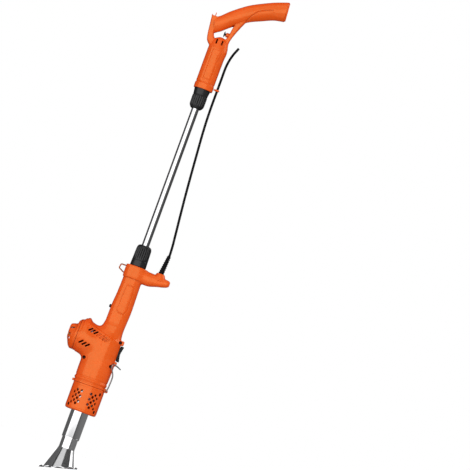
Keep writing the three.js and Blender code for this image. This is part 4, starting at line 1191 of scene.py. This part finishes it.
HOOK_PARTS = [
    ((-35, -5, 1012.3), (-25, 5, 1013.8), 0.4),
    ((-35, -5, 1012.3), (-33.6, 5, 1016), 0.5),
    ((-28.4, -5, 1012.3), (-26.8, 5, 1021.5), 0.6),
]
HANDLE_TOP_Z = 975.4
HANDLE_LINE = [(872, 0.8, 1.2)]
GRIP_LINE = [(37, 1025), (45, 1039), (54, 1051.5), (66, 1058.5), (83, 1065)]
TUBE_PANEL = [(-8, 880), (9, 880), (9, 918), (12, 930), (12, 946), (-8, 946)]


def add_handle_shells():
    grid = Grid((-38, -1.6, 855), (114, 22.4, 1098), 0.8)
    open_tube = upright_bar(grid, HANDLE_TUBE)
    tube = overlap(open_tube, grid.z - HANDLE_TOP_Z, 1.5)
    grip = curved_bar(grid, GRIP, 2, smoothing=70)
    left = curved_bar(grid, LEFT_STRUT, 4, smoothing=12)
    right = curved_bar(grid, RIGHT_STRUT, 4, smoothing=12)
    boss_low, boss_high = LOOP_BOSS["from_x"], LOOP_BOSS["to_x"]
    boss = rod_field(grid, "x", (0, LOOP_BOSS["z"]), LOOP_BOSS["radius"], boss_low, boss_high)
    outer = union(union(tube, left, 2), right, 2)
    outer = union(outer, union(grip, boss, 1), 0.8)
    outer = pressed(outer, line_field(grid, GRIP_LINE), [(0, 1.5, 1.0)])
    outer = pressed(outer, grid.z, HANDLE_LINE)
    outer = raised_panel(grid, outer, TUBE_PANEL, 0.7)

    closed_hollow = union(tube + WALL, grip + WALL)
    hollow = np.where(grid.z < TUBE_OPEN_BELOW, open_tube + WALL, closed_hollow)
    shell = overlap(cut(outer, hollow), HANDLE_BOTTOM_Z - grid.z, 0.8)
    slot, reach = HANDLE_SLOT, HANDLE_SLOT["half_x"]
    front_slots = np.minimum(*[
        box_field(grid, (x - reach, slot["from_y"], slot["low"]), (x + reach, 40, slot["high"]), 0.8)
        for x in HANDLE_SLOTS_X
    ])
    back_slots = np.maximum(front_slots, -(outer + BLIND_DEPTH))
    bore_end = boss_high - LOOP_BOSS["floor"]
    shell = cut(shell, rod_field(grid, "x", (0, LOOP_BOSS["z"]), LOOP_BOSS["bore"], high=bore_end))
    shell = cut(shell, box_field(grid, *HOOK_ROOM), 0.3)
    half_shells(grid, "handle_shell_left", "handle_shell_right", shell, outer, HANDLE_SCREWS,
                back_slots, front_slots)


def add_handle_end_cap():
    grid = Grid((106, -21, 1047), (117, 21, 1098), 0.5)
    cap = curved_bar(grid, GRIP_END, 2, samples=20)
    stand_for("handle_end_cap", grid.surface(cap))


def add_loop_button():
    profile = [
        (0.02, 2.1), (3.5, 2.15), (4.8, 2.4), (5.7, 2.9), (6.1, 3.4), (6.1, 4.1), (5.9, 4.4), (2.8, 4.4),
        (2.8, 10.6), (2.5, 11), (0.02, 11),
    ]
    shape = turned(profile, 48, looped=False)
    stand_for("loop_button", along_x(shape, LOOP_BOSS["z"]), "gloss_black", 40)


def add_cable_hook():
    """A plate with a short prong and a tall one."""
    grid = Grid((-36, -6, 1011.5), (-23.5, 6, 1022.5), 0.25)
    plate, short, tall = (box_field(grid, *part) for part in HOOK_PARTS)
    stand_for("cable_hook", grid.surface(union(union(plate, short, 1), tall, 1)))


# ---- studio ----

CAMERA = {"place": (168.6, -6500, 60), "pitch_deg": 4.69, "roll_deg": 19.944, "lens": 238.377}
CAMERA_SENSOR = 36
KEY_DIRECTION = (-0.05, -0.96, 0.28)
SOFT_LIGHT = {"far": 0.52, "near": 1.28}
LOW_PANELS = [(-177, -77, 0.07), (-77, 26, 0.5), (26, 177, 0.1)]
LEVEL_PANELS = [
    (-176, -163, 0.6), (-163, -73, 0.1), (-73, 26, 1.6), (26, 38, 0.04), (38, 158, 0.165), (158, 176, 0.4),
]
HIGH_PANELS = [
    (-177, -70, 0.1), (-70, -55, 0.02), (-55, 9, 0.65), (9, 86, 0.06), (86, 133, 1.6), (133, 177, 0.06),
]
PANEL_BLUR_DEG = 3
LEVEL_FROM_DEG = (-24, -12)
HIGH_FROM_DEG = (14, 24)


def add_camera():
    lens = bpy.data.cameras.new("camera")
    lens.lens = CAMERA["lens"]
    lens.sensor_width = CAMERA_SENSOR
    lens.clip_end = 50
    camera = bpy.data.objects.new("camera", lens)
    bpy.context.scene.collection.objects.link(camera)
    place = Matrix.Translation(np.array(CAMERA["place"]) * MM + DRAWING_ORIGIN)
    level = Matrix.Rotation(math.radians(90 + CAMERA["pitch_deg"]), 4, "X")
    roll = Matrix.Rotation(math.radians(CAMERA["roll_deg"]), 4, "Z")
    camera.matrix_world = place @ level @ roll
    bpy.context.scene.camera = camera


def add_floor():
    """A plain pale floor that melts into the white surroundings."""
    bpy.ops.mesh.primitive_plane_add(size=60)
    floor = bpy.context.object
    floor.name = "floor"
    floor.location = (0, 0, cad_bounds[0][2] - 0.002)
    made, tree, place = new_material()
    made.name = "pale_floor"
    speckle = tree.noise(place, 40.0)
    base = tree.mix(speckle, rgb(WHITE, 0.93), rgb(WHITE, 0.95))
    surface = tree.node("ShaderNodeBsdfPrincipled", {
        "Base Color": base, "Roughness": 0.9, "Emission Color": rgb(WHITE), "Emission Strength": 0.35,
    })
    tree.node("ShaderNodeOutputMaterial", {"Surface": surface.outputs[0]})
    floor.data.materials.append(made)
    floor.visible_glossy = False
    floor.visible_diffuse = False


def panel_light(tree, bearing, panels):
    """The brightness at a bearing, from rows of a panel's first and last bearing and brightness."""
    light = 0.0
    for first, last, strength in panels:
        enter = tree.ramp(bearing, first - PANEL_BLUR_DEG, first + PANEL_BLUR_DEG)
        leave = tree.ramp(bearing, last - PANEL_BLUR_DEG, last + PANEL_BLUR_DEG, 1.0, 0.0)
        light = tree.add(light, tree.times(tree.times(enter, leave), strength))
    return light


def between(tree, share, first, second):
    """A value that goes from first to second as share goes from 0 to 1."""
    kept = tree.times(first, tree.math("SUBTRACT", 1.0, share))
    return tree.add(kept, tree.times(second, share))


def add_surroundings():
    """White to the camera, one broad soft light, and panels at set bearings from -Y in reflections."""
    world = bpy.data.worlds.new("studio")
    bpy.context.scene.world = world
    world.use_nodes = True
    tree = Tree(world.node_tree)
    direction = tree.node("ShaderNodeTexCoord").outputs["Generated"]
    x, y, z = tree.node("ShaderNodeSeparateXYZ", {0: direction}).outputs
    bearing = tree.math("DEGREES", tree.math("ARCTAN2", x, tree.times(y, -1.0)))
    rise = tree.math("DEGREES", tree.math("ARCSINE", z))
    low, level, high = (
        panel_light(tree, bearing, panels) for panels in (LOW_PANELS, LEVEL_PANELS, HIGH_PANELS)
    )
    lower = between(tree, tree.ramp(rise, *LEVEL_FROM_DEG), low, level)
    mirrored_light = between(tree, tree.ramp(rise, *HIGH_FROM_DEG), lower, high)
    key = tree.node("ShaderNodeVectorMath", {0: direction, 1: KEY_DIRECTION}, operation="DOT_PRODUCT")
    soft_light = tree.ramp(key.outputs["Value"], -0.5, 1.0, SOFT_LIGHT["far"], SOFT_LIGHT["near"])
    path = tree.node("ShaderNodeLightPath").outputs
    strength = between(tree, path["Is Glossy Ray"], soft_light, mirrored_light)
    lit = tree.node("ShaderNodeBackground", {"Color": rgb(WHITE), "Strength": strength})
    plain = tree.node("ShaderNodeBackground", {"Color": rgb(WHITE), "Strength": 1.0})
    seen = path["Is Camera Ray"]
    mixed = tree.node("ShaderNodeMixShader", {0: seen, 1: lit.outputs[0], 2: plain.outputs[0]})
    tree.node("ShaderNodeOutputWorld", {"Surface": mixed.outputs[0]})


# ---- assembly ----

def paint_cad_nodes():
    """Gives every CAD node that is still shown a finish of its own."""
    for node, piece in frame["nodes"].items():
        if piece.hide_render:
            continue
        finish = FINISHES[SLOT_OF[node]]
        for holder in piece.material_slots:
            holder.material = finish


add_body_shells()
add_motor_end_cap()
add_guard()
add_heat_tube()
add_nozzle()
add_rocker()
add_grip_button()
add_stand()
add_strap_ring()
add_pole()
add_collar("lower_collar", 461.2, 1, LOWER_COLLAR, 20, 14.6, 41)
add_collar("upper_collar", 862, -1, UPPER_COLLAR, 18, 19, 41.5)
add_cable()
add_strain_relief()
add_cable_clip()
add_handle_shells()
add_handle_end_cap()
add_loop_button()
add_cable_hook()
paint_cad_nodes()
add_camera()
add_floor()
add_surroundings()
bpy.context.scene.view_settings.view_transform = "Standard"
